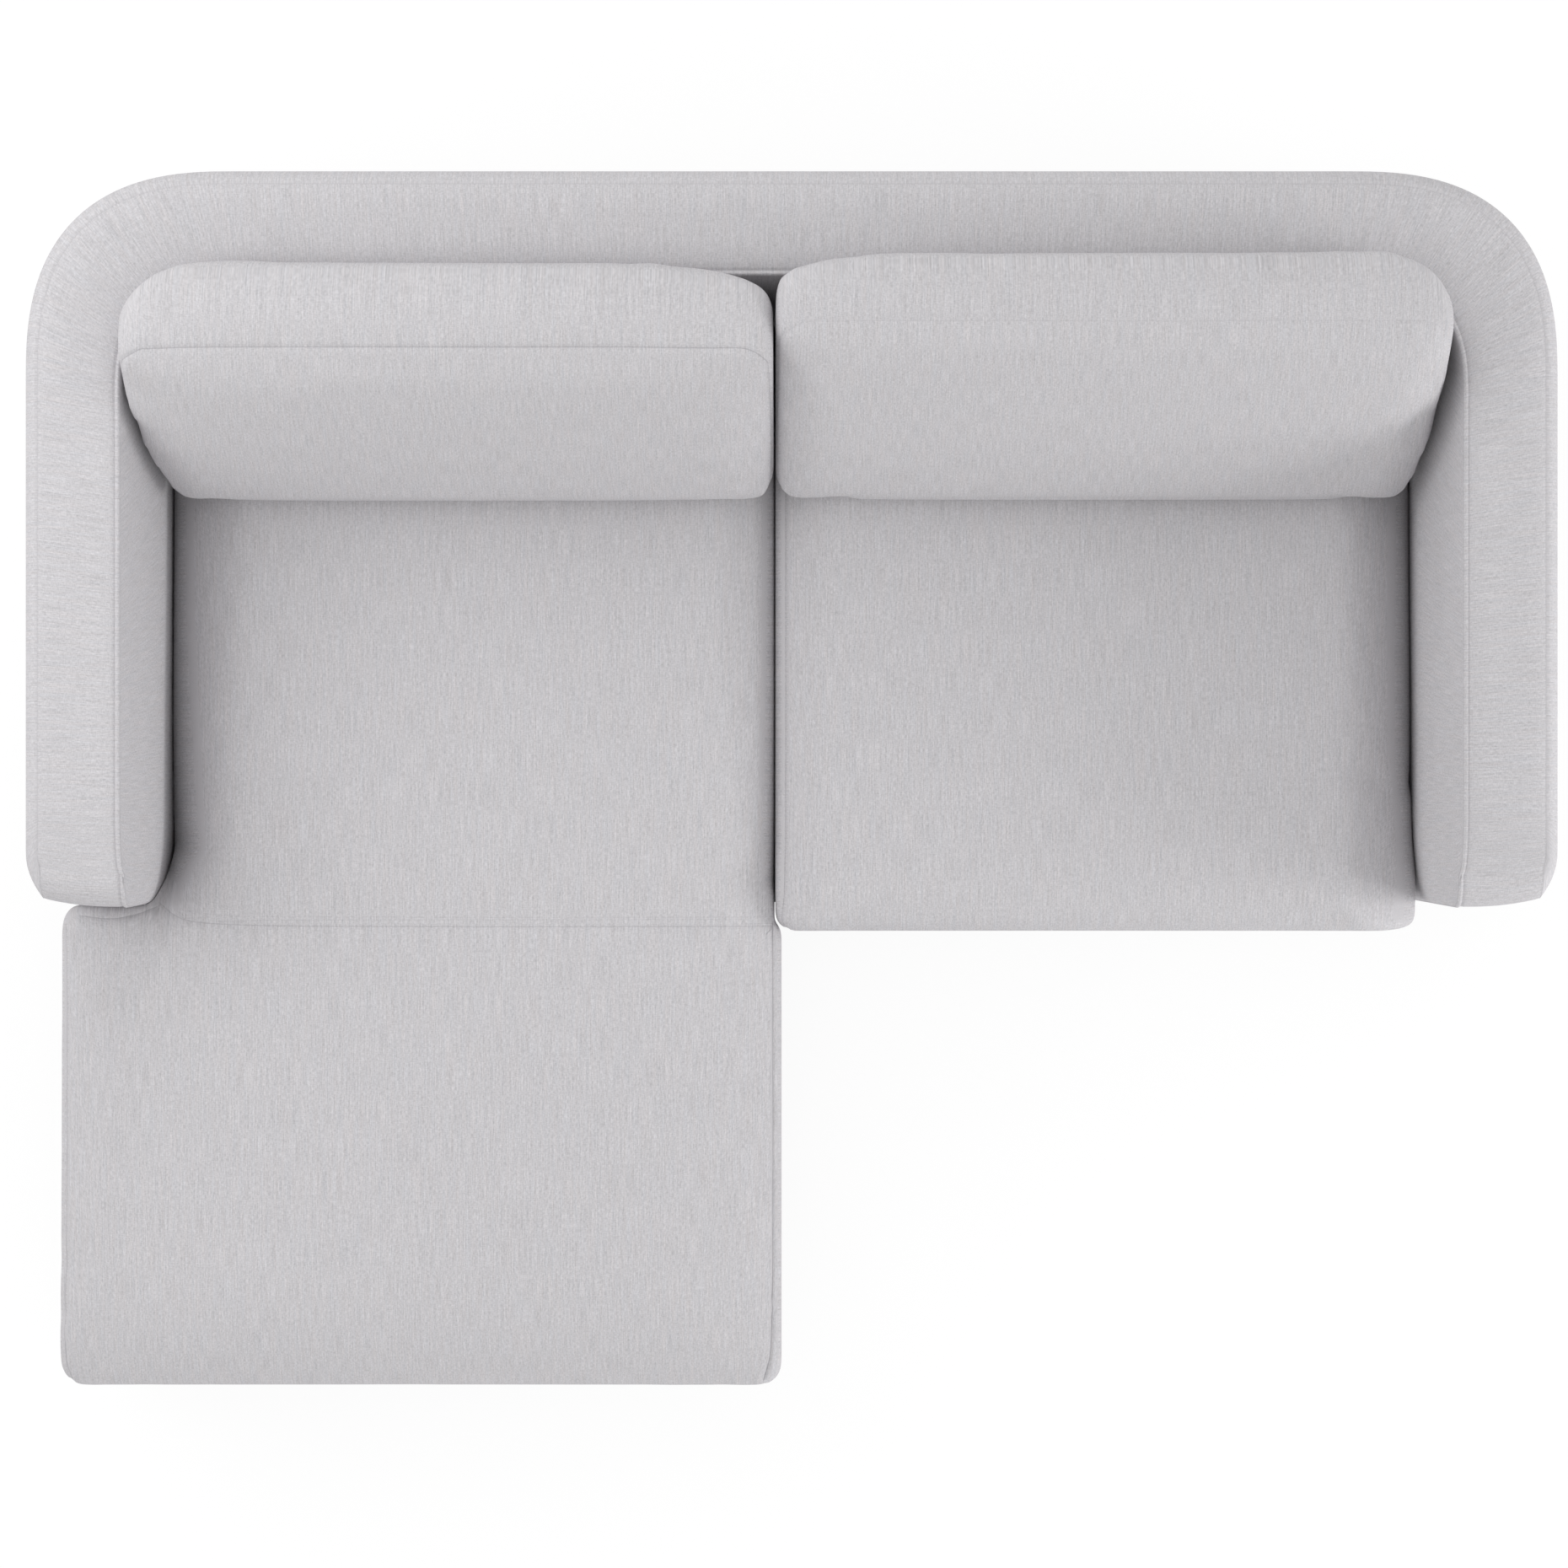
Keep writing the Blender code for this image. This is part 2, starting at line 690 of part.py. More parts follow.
def ordered_edge(bm):
    """Lists the vertices of an open surface's edge in order."""
    edge = next(edge for edge in bm.edges if edge.is_boundary)
    start, current = edge.verts
    loop = [start, current]
    while True:
        for step in loop[-1].link_edges:
            after = step.other_vert(loop[-1])
            if step.is_boundary and after is not loop[-2]:
                break
        if after is loop[0]:
            return loop
        loop.append(after)


def outline_normals(points):
    """Lists the outward direction in plan at each point of a closed outline."""
    area = sum(a.x * b.y - b.x * a.y for a, b in zip(points, points[1:] + points[:1]))
    turn = 1 if area > 0 else -1
    normals = []
    for index in range(len(points)):
        before = (points[index] - points[index - 1]).normalized()
        after = (points[(index + 1) % len(points)] - points[index]).normalized()
        way = (before + after).normalized()
        normals.append(Vector((way.y, -way.x)) * turn)
    return normals


def round_corner(x, y, corner, inward, radius):
    """Moves a point of the square at a corner into the quarter disc that rounds it."""
    p = 1 - (x - corner[0]) * inward[0] / radius
    q = 1 - (y - corner[1]) * inward[1] / radius
    if p < 0 or q < 0:
        return x, y
    round_p = p * math.sqrt(1 - q * q / 2)
    round_q = q * math.sqrt(1 - p * p / 2)
    new_x = corner[0] + inward[0] * radius * (1 - round_p)
    new_y = corner[1] + inward[1] * radius * (1 - round_q)
    return new_x, new_y


def soft_breaks(low, high, corner, count):
    """Lists grid lines: close ones at the rounded ends and even ones between."""
    start = [low, low + corner / 2, low + corner]
    end = [high - corner, high - corner / 2, high]
    return start + steps(low + corner, high - corner, count)[1:-1] + end


def box_depth(x, y, box):
    """Says how far a point lies inside a box in plan."""
    left, right, front, back = box
    return min(x - left, right - x, y - front, back - y)


def side_swell(level):
    """Says how much of its puff a cushion's side has at a share of its height."""
    phase = SWELL_FOOT + (1 - SWELL_FOOT - SWELL_HEAD) * level
    return math.sin(math.pi * phase) ** SWELL_POWER


class SeatCushion:
    """A boxed cushion with a crowned top, over one or two boxes in plan."""

    def __init__(self, name, boxes, corners, puff):
        self.name = name
        self.boxes = boxes
        self.corners = corners
        self.puff = puff

    def depth(self, x, y):
        """Says how far a point lies inside the cushion in plan."""
        return max(box_depth(x, y, box) for box in self.boxes)

    def top_surface(self, xs, ys, notch):
        """Builds the crowned top, with rounded corners."""
        bm = bmesh.new()
        verts = {}
        for i in range(len(xs) - 1):
            for j in range(len(ys) - 1):
                if self.depth((xs[i] + xs[i + 1]) / 2, (ys[j] + ys[j + 1]) / 2) < 0:
                    continue
                keys = ((i, j), (i + 1, j), (i + 1, j + 1), (i, j + 1))
                for key in keys:
                    if key not in verts:
                        verts[key] = bm.verts.new(self.top_point(xs[key[0]], ys[key[1]], notch))
                bm.faces.new([verts[key] for key in keys])
        return bm

    def top_point(self, x, y, notch):
        """Places one point of the top."""
        share = min(1.0, max(0.0, self.depth(x, y)) / SEAT_CROWN_REACH)
        z = SEAT_EDGE_Z + SEAT_CROWN * (1 - (1 - share) ** 2)
        if notch and (x, y) == notch:
            shift = CHAISE_NOTCH * (1 - math.sqrt(0.5))
            return x - shift, y + shift, z
        for corner, inward, radius in self.corners:
            x, y = round_corner(x, y, corner, inward, radius)
        return x, y, z

    def cover_and_zip(self, xs, ys, fabric, zipper, notch=None):
        """Builds the cover with a slot in its back face, and the zip in the slot."""
        bm = self.top_surface(xs, ys, notch)
        loop = ordered_edge(bm)
        outline = [Vector((vert.co.x, vert.co.y)) for vert in loop]
        normals = outline_normals(outline)
        puffs = [self.puff(point) for point in outline]
        low_share = ZIP_RISE / SEAT_EDGE_HEIGHT
        high_share = (ZIP_RISE + ZIP_WIDTH) / SEAT_EDGE_HEIGHT
        levels = sorted([*SIDE_LEVELS, high_share, low_share], reverse=True)
        rings = [loop]
        for level in levels:
            swell = side_swell(level)
            ring = []
            for point, normal, puff in zip(outline, normals, puffs):
                place = point + normal * puff * swell
                ring.append(bm.verts.new((place.x, place.y, SEAT_BOTTOM_Z + SEAT_EDGE_HEIGHT * level)))
            rings.append(ring)
        rear = max(point.y for point in outline)
        slot = [
            index
            for index in range(len(loop))
            if abs(outline[index].y - rear) < GAP and abs(outline[(index + 1) % len(loop)].y - rear) < GAP
        ]
        slot = [index for index in slot if min(self.end_room(outline, index, rear)) > SEAT_CORNER]
        band = levels.index(high_share) + 1
        for number, (upper, lower) in enumerate(zip(rings, rings[1:])):
            faces = skin(bm, upper, lower)
            if number == band:
                strip = [faces[index] for index in slot]
                self.add_zip(strip, zipper)
                bmesh.ops.delete(bm, geom=strip, context="FACES_ONLY")
        bm.faces.new(rings[-1])
        cover = add_object(f"{self.name}_cover", bm, fabric, smooth=True)
        add_wall(cover, CUSHION_COVER)

    @staticmethod
    def end_room(outline, index, rear):
        """Gives the room between one back segment and each end of the back face."""
        straight = [point.x for point in outline if abs(point.y - rear) < GAP]
        ends = (outline[index].x, outline[(index + 1) % len(outline)].x)
        return min(ends) - min(straight), max(straight) - max(ends)

    def add_zip(self, strip, zipper):
        """Builds the zip as one strip that fills the slot in a flat back face."""
        points = [vert.co for face in strip for vert in face.verts]
        low = Vector([min(point[axis] for point in points) for axis in range(3)])
        high = Vector([max(point[axis] for point in points) for axis in range(3)])
        face_y = high.y
        low_corner = (low.x + GAP, face_y - ZIP_THICKNESS - GAP, low.z + GAP)
        add_box(f"{self.name}_zip", low_corner, (high.x - GAP, face_y - GAP, high.z - GAP), zipper)

    def core(self, outline, filling):
        """Builds the core, a block with eased edges that lies on the bottom of the cover."""
        bm = bmesh.new()
        low_z = SEAT_BOTTOM_Z + CUSHION_COVER + GAP
        low = [bm.verts.new((x, y, low_z)) for x, y in outline]
        high = [bm.verts.new((x, y, SEAT_EDGE_Z - CUSHION_COVER - GAP)) for x, y in outline]
        skin(bm, high, low)
        bm.faces.new(low)
        bm.faces.new(high)
        upright = [edge for edge in bm.edges if abs(edge.verts[0].co.z - edge.verts[1].co.z) > GAP]
        top = [edge for edge in bm.edges if min(vert.co.z for vert in edge.verts) > SEAT_EDGE_Z - CORE_EDGE]
        bmesh.ops.bevel(bm, geom=upright + top, offset=CORE_EDGE, segments=1, profile=0.5, affect="EDGES")
        add_object(f"{self.name}_core", bm, filling)


def right_seat(fabric, filling, zipper):
    """The loose seat cushion on the right."""
    left = SEAT_DIVIDE + SEAT_DIVIDE_EASE + SEAT_SIDE_PUFF
    right = SEAT_SIDE_X - SEAT_SIDE_PUFF
    front = SEAT_FRONT_Y + SEAT_FRONT_PUFF
    back = SEAT_REAR_Y - SEAT_SIDE_PUFF
    corners = []
    for x, way_x in ((left, 1), (right, -1)):
        corners.append(((x, front), (way_x, 1), SEAT_CORNER))
        corners.append(((x, back), (way_x, -1), SEAT_CORNER))

    def puff(point):
        return SEAT_FRONT_PUFF if point.y < front + SEAT_CORNER / 2 else SEAT_SIDE_PUFF

    cushion = SeatCushion("right_seat", [(left, right, front, back)], corners, puff)
    xs = soft_breaks(left, right, SEAT_CORNER, 6)
    ys = soft_breaks(front, back, SEAT_CORNER, 6)
    cushion.cover_and_zip(xs, ys, fabric, zipper)
    inset = CORE_INSET
    outline = [
        (left + inset, front + inset),
        (right - inset, front + inset),
        (right - inset, back - inset),
        (left + inset, back - inset),
    ]
    cushion.core(outline, filling)


def chaise_seat(fabric, filling, zipper):
    """The loose L-shaped cushion of the chaise."""
    left = CHAISE_LEFT_X + SEAT_FRONT_PUFF
    inner_left = -SEAT_SIDE_X + SEAT_SIDE_PUFF
    right = SEAT_DIVIDE - SEAT_DIVIDE_EASE - SEAT_SIDE_PUFF
    front = CHAISE_FRONT_Y + SEAT_FRONT_PUFF
    shoulder = ARM_FRONT_Y - CHAISE_ARM_EASE - SEAT_SIDE_PUFF
    back = SEAT_REAR_Y - SEAT_SIDE_PUFF
    corners = [
        ((left, front), (1, 1), CHAISE_CORNER),
        ((right, front), (-1, 1), CHAISE_CORNER),
        ((left, shoulder), (1, -1), SEAT_CORNER),
        ((inner_left, back), (1, -1), SEAT_CORNER),
        ((right, back), (-1, -1), SEAT_CORNER),
    ]
    clear_y = SEAT_FRONT_Y - SEAT_CORNER

    def puff(point):
        if point.y < front + CHAISE_CORNER / 2:
            return SEAT_FRONT_PUFF
        if point.x > right - CHAISE_CORNER:
            return CHAISE_SIDE_PUFF if point.y < clear_y else SEAT_SIDE_PUFF
        if point.x < left + SEAT_CORNER / 2:
            return SEAT_FRONT_PUFF
        return SEAT_SIDE_PUFF

    boxes = [(inner_left, right, front, back), (left, right, front, shoulder)]
    cushion = SeatCushion("chaise", boxes, corners, puff)
    xs = [left, left + CHAISE_CORNER / 2, left + CHAISE_CORNER]
    xs += steps(left + CHAISE_CORNER, inner_left - CHAISE_NOTCH, 2)[1:]
    xs += [inner_left]
    xs += soft_breaks(inner_left, right, CHAISE_CORNER, 6)[1:]
    ys = [front, front + CHAISE_CORNER / 2, front + CHAISE_CORNER]
    ys += steps(front + CHAISE_CORNER, shoulder - SEAT_CORNER, 4)[1:]
    ys += [shoulder - SEAT_CORNER / 2]
    ys += [shoulder]
    ys += steps(shoulder + CHAISE_NOTCH, back - SEAT_CORNER, 5)
    ys += [back - SEAT_CORNER / 2, back]
    cushion.cover_and_zip(xs, ys, fabric, zipper, notch=(inner_left, shoulder))
    inset = CORE_INSET
    outline = [
        (left + inset, front + inset),
        (right - inset, front + inset),
        (right - inset, back - inset),
        (inner_left + inset, back - inset),
        (inner_left + inset, shoulder - inset),
        (left + inset, shoulder - inset),
    ]
    cushion.core(outline, filling)


# Back cushions


def fillet(before, corner, after, radius, count):
    """Lists points of a rounded corner between two straight edges."""
    inward = (before - corner).normalized()
    onward = (after - corner).normalized()
    start = corner + inward * radius
    end = corner + onward * radius
    points = []
    for share in steps(0.0, 1.0, count):
        bend = start.lerp(corner, share).lerp(corner.lerp(end, share), share)
        points.append(bend)
    return points


class BackCushion:
    """A plump cushion that stands on a seat and leans on the back."""

    def __init__(self, name, left, right, left_flare, right_flare):
        self.name = name
        self.left = left
        self.right = right
        self.left_flare = left_flare
        self.right_flare = right_flare
        self.foot_z = SEAT_TOP_Z + GAP
        self.rear_y = SEAT_BACK_Y - BACK_CUSHION_EASE
        self.front_y = self.rear_y - BACK_CUSHION_FOOT

    def profile(self):
        """Lists the (y, z) points of the side view, and the index where the zip's band starts."""
        top_z = WRAP_HEIGHT + BACK_CUSHION_SHOW
        wrap_edge_y = SEAT_BACK_Y + INNER_SLOPE
        front_foot = Vector((self.front_y, self.foot_z))
        front_top = Vector((self.front_y + BACK_CUSHION_LEAN, top_z))
        back_top = Vector((wrap_edge_y + BACK_CUSHION_OVERHANG, top_z - BACK_CUSHION_TOP_DROP))
        rest = Vector((wrap_edge_y - BACK_CUSHION_EASE, WRAP_HEIGHT + TOP_CROWN))
        back_foot = Vector((self.rear_y, self.foot_z))
        puff_way = (front_top - front_foot).orthogonal().normalized()
        if puff_way.x > 0:
            puff_way = -puff_way
        points = fillet(back_foot, front_foot, front_top, BACK_CUSHION_ROUND, 3)
        start = points[-1]
        end = front_top.lerp(front_foot, BACK_CUSHION_ROUND / (front_top - front_foot).length)
        for share in (0.25, 0.5, 0.75):
            puff = BACK_CUSHION_PUFF * 4 * share * (1 - share)
            points.append(start.lerp(end, share) + puff_way * puff)
        points += fillet(front_foot, front_top, back_top, BACK_CUSHION_ROUND, 3)
        points += fillet(front_top, back_top, rest, BACK_CUSHION_ROUND / 2, 2)
        points.append(rest)
        foot_edge = fillet(rest, back_foot, front_foot, BACK_CUSHION_ROUND / 2, 2)
        up = (rest - foot_edge[0]).normalized()
        points.append(foot_edge[0] + up * (BACK_ZIP_RISE + ZIP_WIDTH))
        band = len(points) - 1
        points.append(foot_edge[0] + up * BACK_ZIP_RISE)
        points += foot_edge
        return points, band

    def wrap_limit(self, x, z):
        """Says how far back the cushion may reach at a place in front of the wrap."""
        slope = inner_slope(WRAP_HEIGHT - z)
        reach = inner_corner(WRAP_HEIGHT - z)
        past = abs(x) - (SEAT_HALF + slope - reach)
        limit = SEAT_BACK_Y + slope - reach
        if past <= 0:
            return limit + reach
        share = min(1.0, past / reach)
        return limit + reach * (1 - share**CORNER_POWER) ** (1 / CORNER_POWER)

    def stations(self):
        """Lists (x, shrink) along the cushion."""
        near = []
        far = []
        for part, rest in BACK_CUSHION_END_STEPS:
            shrink = BACK_CUSHION_END_SHRINK * rest
            near.append((self.left + BACK_CUSHION_END * part, shrink))
            far.append((self.right - BACK_CUSHION_END * part, shrink))
        inner_left = self.left + BACK_CUSHION_END
        middle = steps(inner_left, self.right - BACK_CUSHION_END, BACK_CUSHION_BAY_COUNT)[1:-1]
        return near + [(x, 0.0) for x in middle] + far[::-1]

    def rings(self, profile):
        """Lists the rings of points along the cushion."""
        centre = sum(profile, Vector((0, 0))) / len(profile)
        middle = (self.left + self.right) / 2
        half = (self.right - self.left) / 2
        height = WRAP_HEIGHT + BACK_CUSHION_SHOW - self.foot_z
        rings = []
        for x, shrink in self.stations():
            across = (x - middle) / half
            flare = self.left_flare if across < 0 else self.right_flare
            ring = []
            for point in profile:
                place = centre + (point - centre) * (1 - shrink)
                front_share = max(0.0, centre.x - place.x) / (centre.x - self.front_y)
                place = place - Vector((BACK_CUSHION_CROWN * front_share * (1 - across**4), 0))
                lift = (place.y - self.foot_z) / height - 1.0
                new_x = x + flare * lift * across * abs(across)
                limit = self.wrap_limit(new_x, place.y) - BACK_CUSHION_CORNER_EASE
                over = max(0.0, place.y - WRAP_HEIGHT)
                y = min(place.x, limit + over * BACK_CUSHION_LEAN_OUT)
                ring.append(Vector((new_x, y, place.y)))
            rings.append(ring)
        return rings

    def build(self, fabric, filling, zipper):
        """Builds the cover with a slot at its back foot, the zip in the slot, and the core."""
        profile, band = self.profile()
        bm = bmesh.new()
        rings = [[bm.verts.new(point) for point in ring] for ring in self.rings(profile)]
        first = len(BACK_CUSHION_END_STEPS)
        last = len(rings) - first - 1
        strip = []
        for number, (near, far) in enumerate(zip(rings, rings[1:])):
            faces = skin(bm, near, far)
            if first <= number < last:
                strip.append(faces[band])
        self.add_zip(strip, zipper)
        bmesh.ops.delete(bm, geom=strip, context="FACES_ONLY")
        bm.faces.new(rings[0])
        bm.faces.new(rings[-1])
        cover = add_object(f"{self.name}_cover", bm, fabric, smooth=True)
        add_wall(cover, CUSHION_COVER)
        self.core(profile, filling)

    def add_zip(self, strip, zipper):
        """Builds the zip as one strip that fills the slot."""
        points = [vert.co for face in strip for vert in face.verts]
        ends = [sorted(vert.co.x for vert in face.verts) for face in (strip[0], strip[-1])]
        left = ends[0][1] + GAP
        right = ends[1][2] - GAP
        high = max(points, key=lambda point: point.z)
        low = min(points, key=lambda point: point.z)
        up = Vector((0, high.y - low.y, high.z - low.z)).normalized()
        inward = Vector((0, -up.z, up.y))
        bm = bmesh.new()
        corners = []
        for depth in (GAP, GAP + ZIP_THICKNESS):
            for base, side in ((low, 1), (high, -1)):
                edge = Vector((0, base.y, base.z)) + up * side * GAP + inward * depth
                corners.append(edge)
        order = (0, 1, 3, 2)
        near = [bm.verts.new(corners[index] + Vector((left, 0, 0))) for index in order]
        far = [bm.verts.new(corners[index] + Vector((right, 0, 0))) for index in order]
        skin(bm, near, far)
        bm.faces.new(near)
        bm.faces.new(far)
        add_object(f"{self.name}_zip", bm, zipper)

    def core(self, profile, filling):
        """Builds the core, a smaller block that lies on the bottom of the cover."""
        centre = sum(profile, Vector((0, 0))) / len(profile)
        share = 1 - CORE_INSET / (BACK_CUSHION_FOOT / 2)
        floor = self.foot_z + CUSHION_COVER + GAP
        left = self.left + BACK_CUSHION_END + self.left_flare
        right = self.right - BACK_CUSHION_END - self.right_flare
        shape = [centre + (point - centre) * share for point in profile[::2]]
        drop = min(point.y for point in shape) - floor
        shape = [point - Vector((0, drop)) for point in shape]
        bm = bmesh.new()
        near = [bm.verts.new((left, point.x, point.y)) for point in shape]
        far = [bm.verts.new((right, point.x, point.y)) for point in shape]
        skin(bm, near, far)
        bm.faces.new(near)
        bm.faces.new(far)
        add_object(f"{self.name}_core", bm, filling)


def back_cushions(fabric, filling, zipper):
    """The two loose back cushions."""
    side = SEAT_HALF + INNER_SLOPE - BACK_CUSHION_ARM_EASE
    left = BackCushion(
        "left_back",
        -side,
        SEAT_DIVIDE - BACK_CUSHION_DIVIDE_EASE,
        BACK_CUSHION_LEFT_FLARE,
        0.0,
    )
    right = BackCushion(
        "right_back",
        SEAT_DIVIDE + BACK_CUSHION_DIVIDE_EASE,
        side - BACK_CUSHION_ARM_EASE,
        0.0,
        BACK_CUSHION_RIGHT_FLARE,
    )
    left.build(fabric, filling, zipper)
    right.build(fabric, filling, zipper)


def build():
    """Builds the whole sofa."""
    clear_scene()
    fabric = make_material("grey_weave", (0.56, 0.54, 0.56), 0.92)
    foam = make_material("foam", (0.86, 0.80, 0.62), 0.95)
    filling = make_material("cushion_filling", (0.88, 0.86, 0.80), 0.95)
    timber = make_material("timber", (0.62, 0.45, 0.28), 0.65)
    plastic = make_material("black_plastic", (0.02, 0.02, 0.02), 0.45)
    felt = make_material("felt", (0.12, 0.12, 0.12), 0.95)
    steel = make_material("zinc_steel", (0.60, 0.61, 0.62), 0.35, 1.0)
    strap = make_material("webbing", (0.08, 0.08, 0.09), 0.85)
    lining = make_material("lining_cloth", (0.05, 0.05, 0.05), 0.95)
    zipper = make_material("zip_tape", (0.45, 0.44, 0.46), 0.70)
    wrap_cover(fabric)
    foam_pads(foam)
    arm_frame("left_arm_frame", -1, timber)
    arm_frame("right_arm_frame", 1, timber)
    back_frame(timber)
    corner_blocks(timber)
    base_rails(timber)
    chaise_rails(timber)
    connectors(steel)
    webbing(strap)
    deck_cloths(lining)
    dust_covers(lining)
    base_covers(fabric)
    legs(plastic, felt)
    right_seat(fabric, filling, zipper)
    chaise_seat(fabric, filling, zipper)
    back_cushions(fabric, filling, zipper)


build()
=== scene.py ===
"""Looks of a sofa with a chaise: its woven covers, blown up cushions, bases and legs."""

import logging
import math
from abc import ABC, abstractmethod
from collections.abc import Callable, Sequence
from dataclasses import dataclass, field
from enum import Enum
from itertools import accumulate

import bmesh
import bpy
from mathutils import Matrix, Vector
from mathutils.bvhtree import BVHTree
from mathutils.kdtree import KDTree


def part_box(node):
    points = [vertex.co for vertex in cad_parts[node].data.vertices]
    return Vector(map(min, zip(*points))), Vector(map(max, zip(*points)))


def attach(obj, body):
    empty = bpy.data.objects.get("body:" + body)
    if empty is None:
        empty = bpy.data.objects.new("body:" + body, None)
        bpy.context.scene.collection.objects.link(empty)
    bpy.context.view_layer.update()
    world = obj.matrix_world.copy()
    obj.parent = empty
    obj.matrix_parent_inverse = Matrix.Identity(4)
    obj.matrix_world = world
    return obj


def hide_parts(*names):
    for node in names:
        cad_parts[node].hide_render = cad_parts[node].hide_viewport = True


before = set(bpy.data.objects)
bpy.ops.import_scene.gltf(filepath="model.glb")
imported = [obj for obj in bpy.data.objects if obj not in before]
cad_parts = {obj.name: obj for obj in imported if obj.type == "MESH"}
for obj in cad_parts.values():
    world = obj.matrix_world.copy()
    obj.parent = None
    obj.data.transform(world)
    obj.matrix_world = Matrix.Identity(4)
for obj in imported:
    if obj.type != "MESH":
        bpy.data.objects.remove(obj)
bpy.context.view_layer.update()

log = logging.getLogger("sofa")

CLEAR = 0.0006
COVER_WALL = 0.0020
SKIRT_WALL = 0.0018
THIN_WALL = 0.0008
WARP_PITCH = 0.0017
WEFT_PITCH = 0.0019
# Where a seam's painted shade line fades out across the seam, and how far its groove dips.
SEAM_SHADE_EDGE = (0.0002, 0.0013)
STITCH_DIP = 0.0045
# Strength of the painted seam shade beside the welt and along the strip's outer seam.
WELT_SHADE = 0.60
OUTER_SEAM_SHADE = 0.22


class YarnRun(Enum):
    """Where a woven finish takes the direction of its yarns from."""

    PANEL = "the panel's own map"
    CUSHION = "the faces of a cushion"


class Edge(Enum):
    """The two long edges of the strip that tops the arms and back."""

    OUTER = 1
    INNER = -1


# Small helpers


def lengths_along(points: Sequence[Vector]) -> list[float]:
    """Lists how far along a line each of its points lies."""
    gaps = ((after - before).length for before, after in zip(points, points[1:]))
    return list(accumulate(gaps, initial=0.0))


def steps(start: float, end: float, count: int) -> list[float]:
    """Lists count + 1 even values.

    Args:
        start: The first value.
        end: The last value.
        count: How many equal steps lie between them.

    Returns:
        The values in order.
    """
    return [start + (end - start) * index / count for index in range(count + 1)]


def ease(value: float, low: float, high: float) -> float:
    """Turns a value into a smooth share between two limits.

    Args:
        value: The value to place.
        low: Where the share is 0.
        high: Where the share is 1.

    Returns:
        A share from 0 to 1.
    """
    share = min(1.0, max(0.0, (value - low) / (high - low)))
    return share * share * (3 - 2 * share)


def add_piece(name: str, bm: bmesh.types.BMesh, recalculate: bool = True) -> bpy.types.Object:
    """Turns a bmesh into a smooth object of the scene.

    Args:
        name: The piece's name.
        bm: The mesh, which is freed.
        recalculate: Whether the faces are turned outward first.

    Returns:
        The new object, at the origin.
    """
    if recalculate:
        bmesh.ops.recalc_face_normals(bm, faces=bm.faces)
    mesh = bpy.data.meshes.new(name)
    bm.to_mesh(mesh)
    bm.free()
    mesh.shade_smooth()
    piece = bpy.data.objects.new(name, mesh)
    bpy.context.scene.collection.objects.link(piece)
    return piece


def settle(piece: bpy.types.Object) -> None:
    """Applies every modifier of a piece."""
    bpy.context.view_layer.update()
    shaped = piece.evaluated_get(bpy.context.evaluated_depsgraph_get())
    mesh = bpy.data.meshes.new_from_object(shaped)
    piece.modifiers.clear()
    old = piece.data
    piece.data = mesh
    bpy.data.meshes.remove(old)
    mesh.name = piece.name


def give_wall(piece: bpy.types.Object, thickness: float) -> None:
    """Gives an open surface a wall on its inner side."""
    wall = piece.modifiers.new("wall", "SOLIDIFY")
    wall.thickness = thickness
    wall.offset = -1.0
    wall.use_even_offset = True


def sharpen(piece: bpy.types.Object, degrees: float) -> None:
    """Marks the edges of a piece sharper than an angle as sharp."""
    piece.data.set_sharp_from_angle(angle=math.radians(degrees))


def bevel(
    bm: bmesh.types.BMesh, edges: Sequence[bmesh.types.BMEdge], offset: float, segments: int
) -> None:
    """Rounds edges off."""
    bmesh.ops.bevel(
        bm, geom=edges, offset=offset, segments=segments, profile=0.5, affect="EDGES", material=-1
    )


def block(bm: bmesh.types.BMesh, size: Sequence[float], place: Sequence[float]) -> list:
    """Adds a box by its size and its middle."""
    verts = bmesh.ops.create_cube(bm, size=1.0)["verts"]
    bmesh.ops.scale(bm, verts=verts, vec=size)
    bmesh.ops.translate(bm, verts=verts, vec=place)
    return verts


def height_of(edge: bmesh.types.BMEdge) -> float:
    """Says how far apart in height an edge's ends are."""
    return abs(edge.verts[0].co.z - edge.verts[1].co.z)


def turn_to(piece: bpy.types.Object, way: Sequence[float], index: int = 0) -> None:
    """Turns a surface over if one of its faces looks away from a direction."""
    if piece.data.polygons[index].normal.dot(Vector(way)) < 0:
        piece.data.flip_normals()


def dress(
    piece: bpy.types.Object, finish: bpy.types.Material, slot: str, body: str, *nodes: str
) -> None:
    """Gives a piece its finish and its body, and hides the frame's nodes that it stands for.

    Args:
        piece: The piece to dress.
        finish: Its material.
        slot: The slot of the record that it belongs to; not used.
        body: The body that it rides on.
        nodes: The frame's nodes that it stands for, if any.
    """
    piece.data.materials.append(finish)
    if nodes:
        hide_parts(*nodes)
    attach(piece, body)


def smooth_path(points: Sequence[Vector], spacing: float) -> list[Vector]:
    """Runs a smooth curve through points.

    Args:
        points: The points that the curve passes.
        spacing: The rough distance between the points that come back.

    Returns:
        Points along the curve.
    """
    path = []
    ends = [points[0] * 2 - points[1], *points, points[-1] * 2 - points[-2]]
    for before, start, end, after in zip(ends, ends[1:], ends[2:], ends[3:]):
        count = max(1, round((end - start).length / spacing))
        for share in steps(0.0, 1.0, count)[:-1]:
            square = share * share
            cube = square * share
            path.append(
                0.5
                * (
                    start * 2
                    + (end - before) * share
                    + (before * 2 - start * 5 + end * 4 - after) * square
                    + (start * 3 - before - end * 3 + after) * cube
                )
            )
    path.append(points[-1].copy())
    return path


# Shader wiring


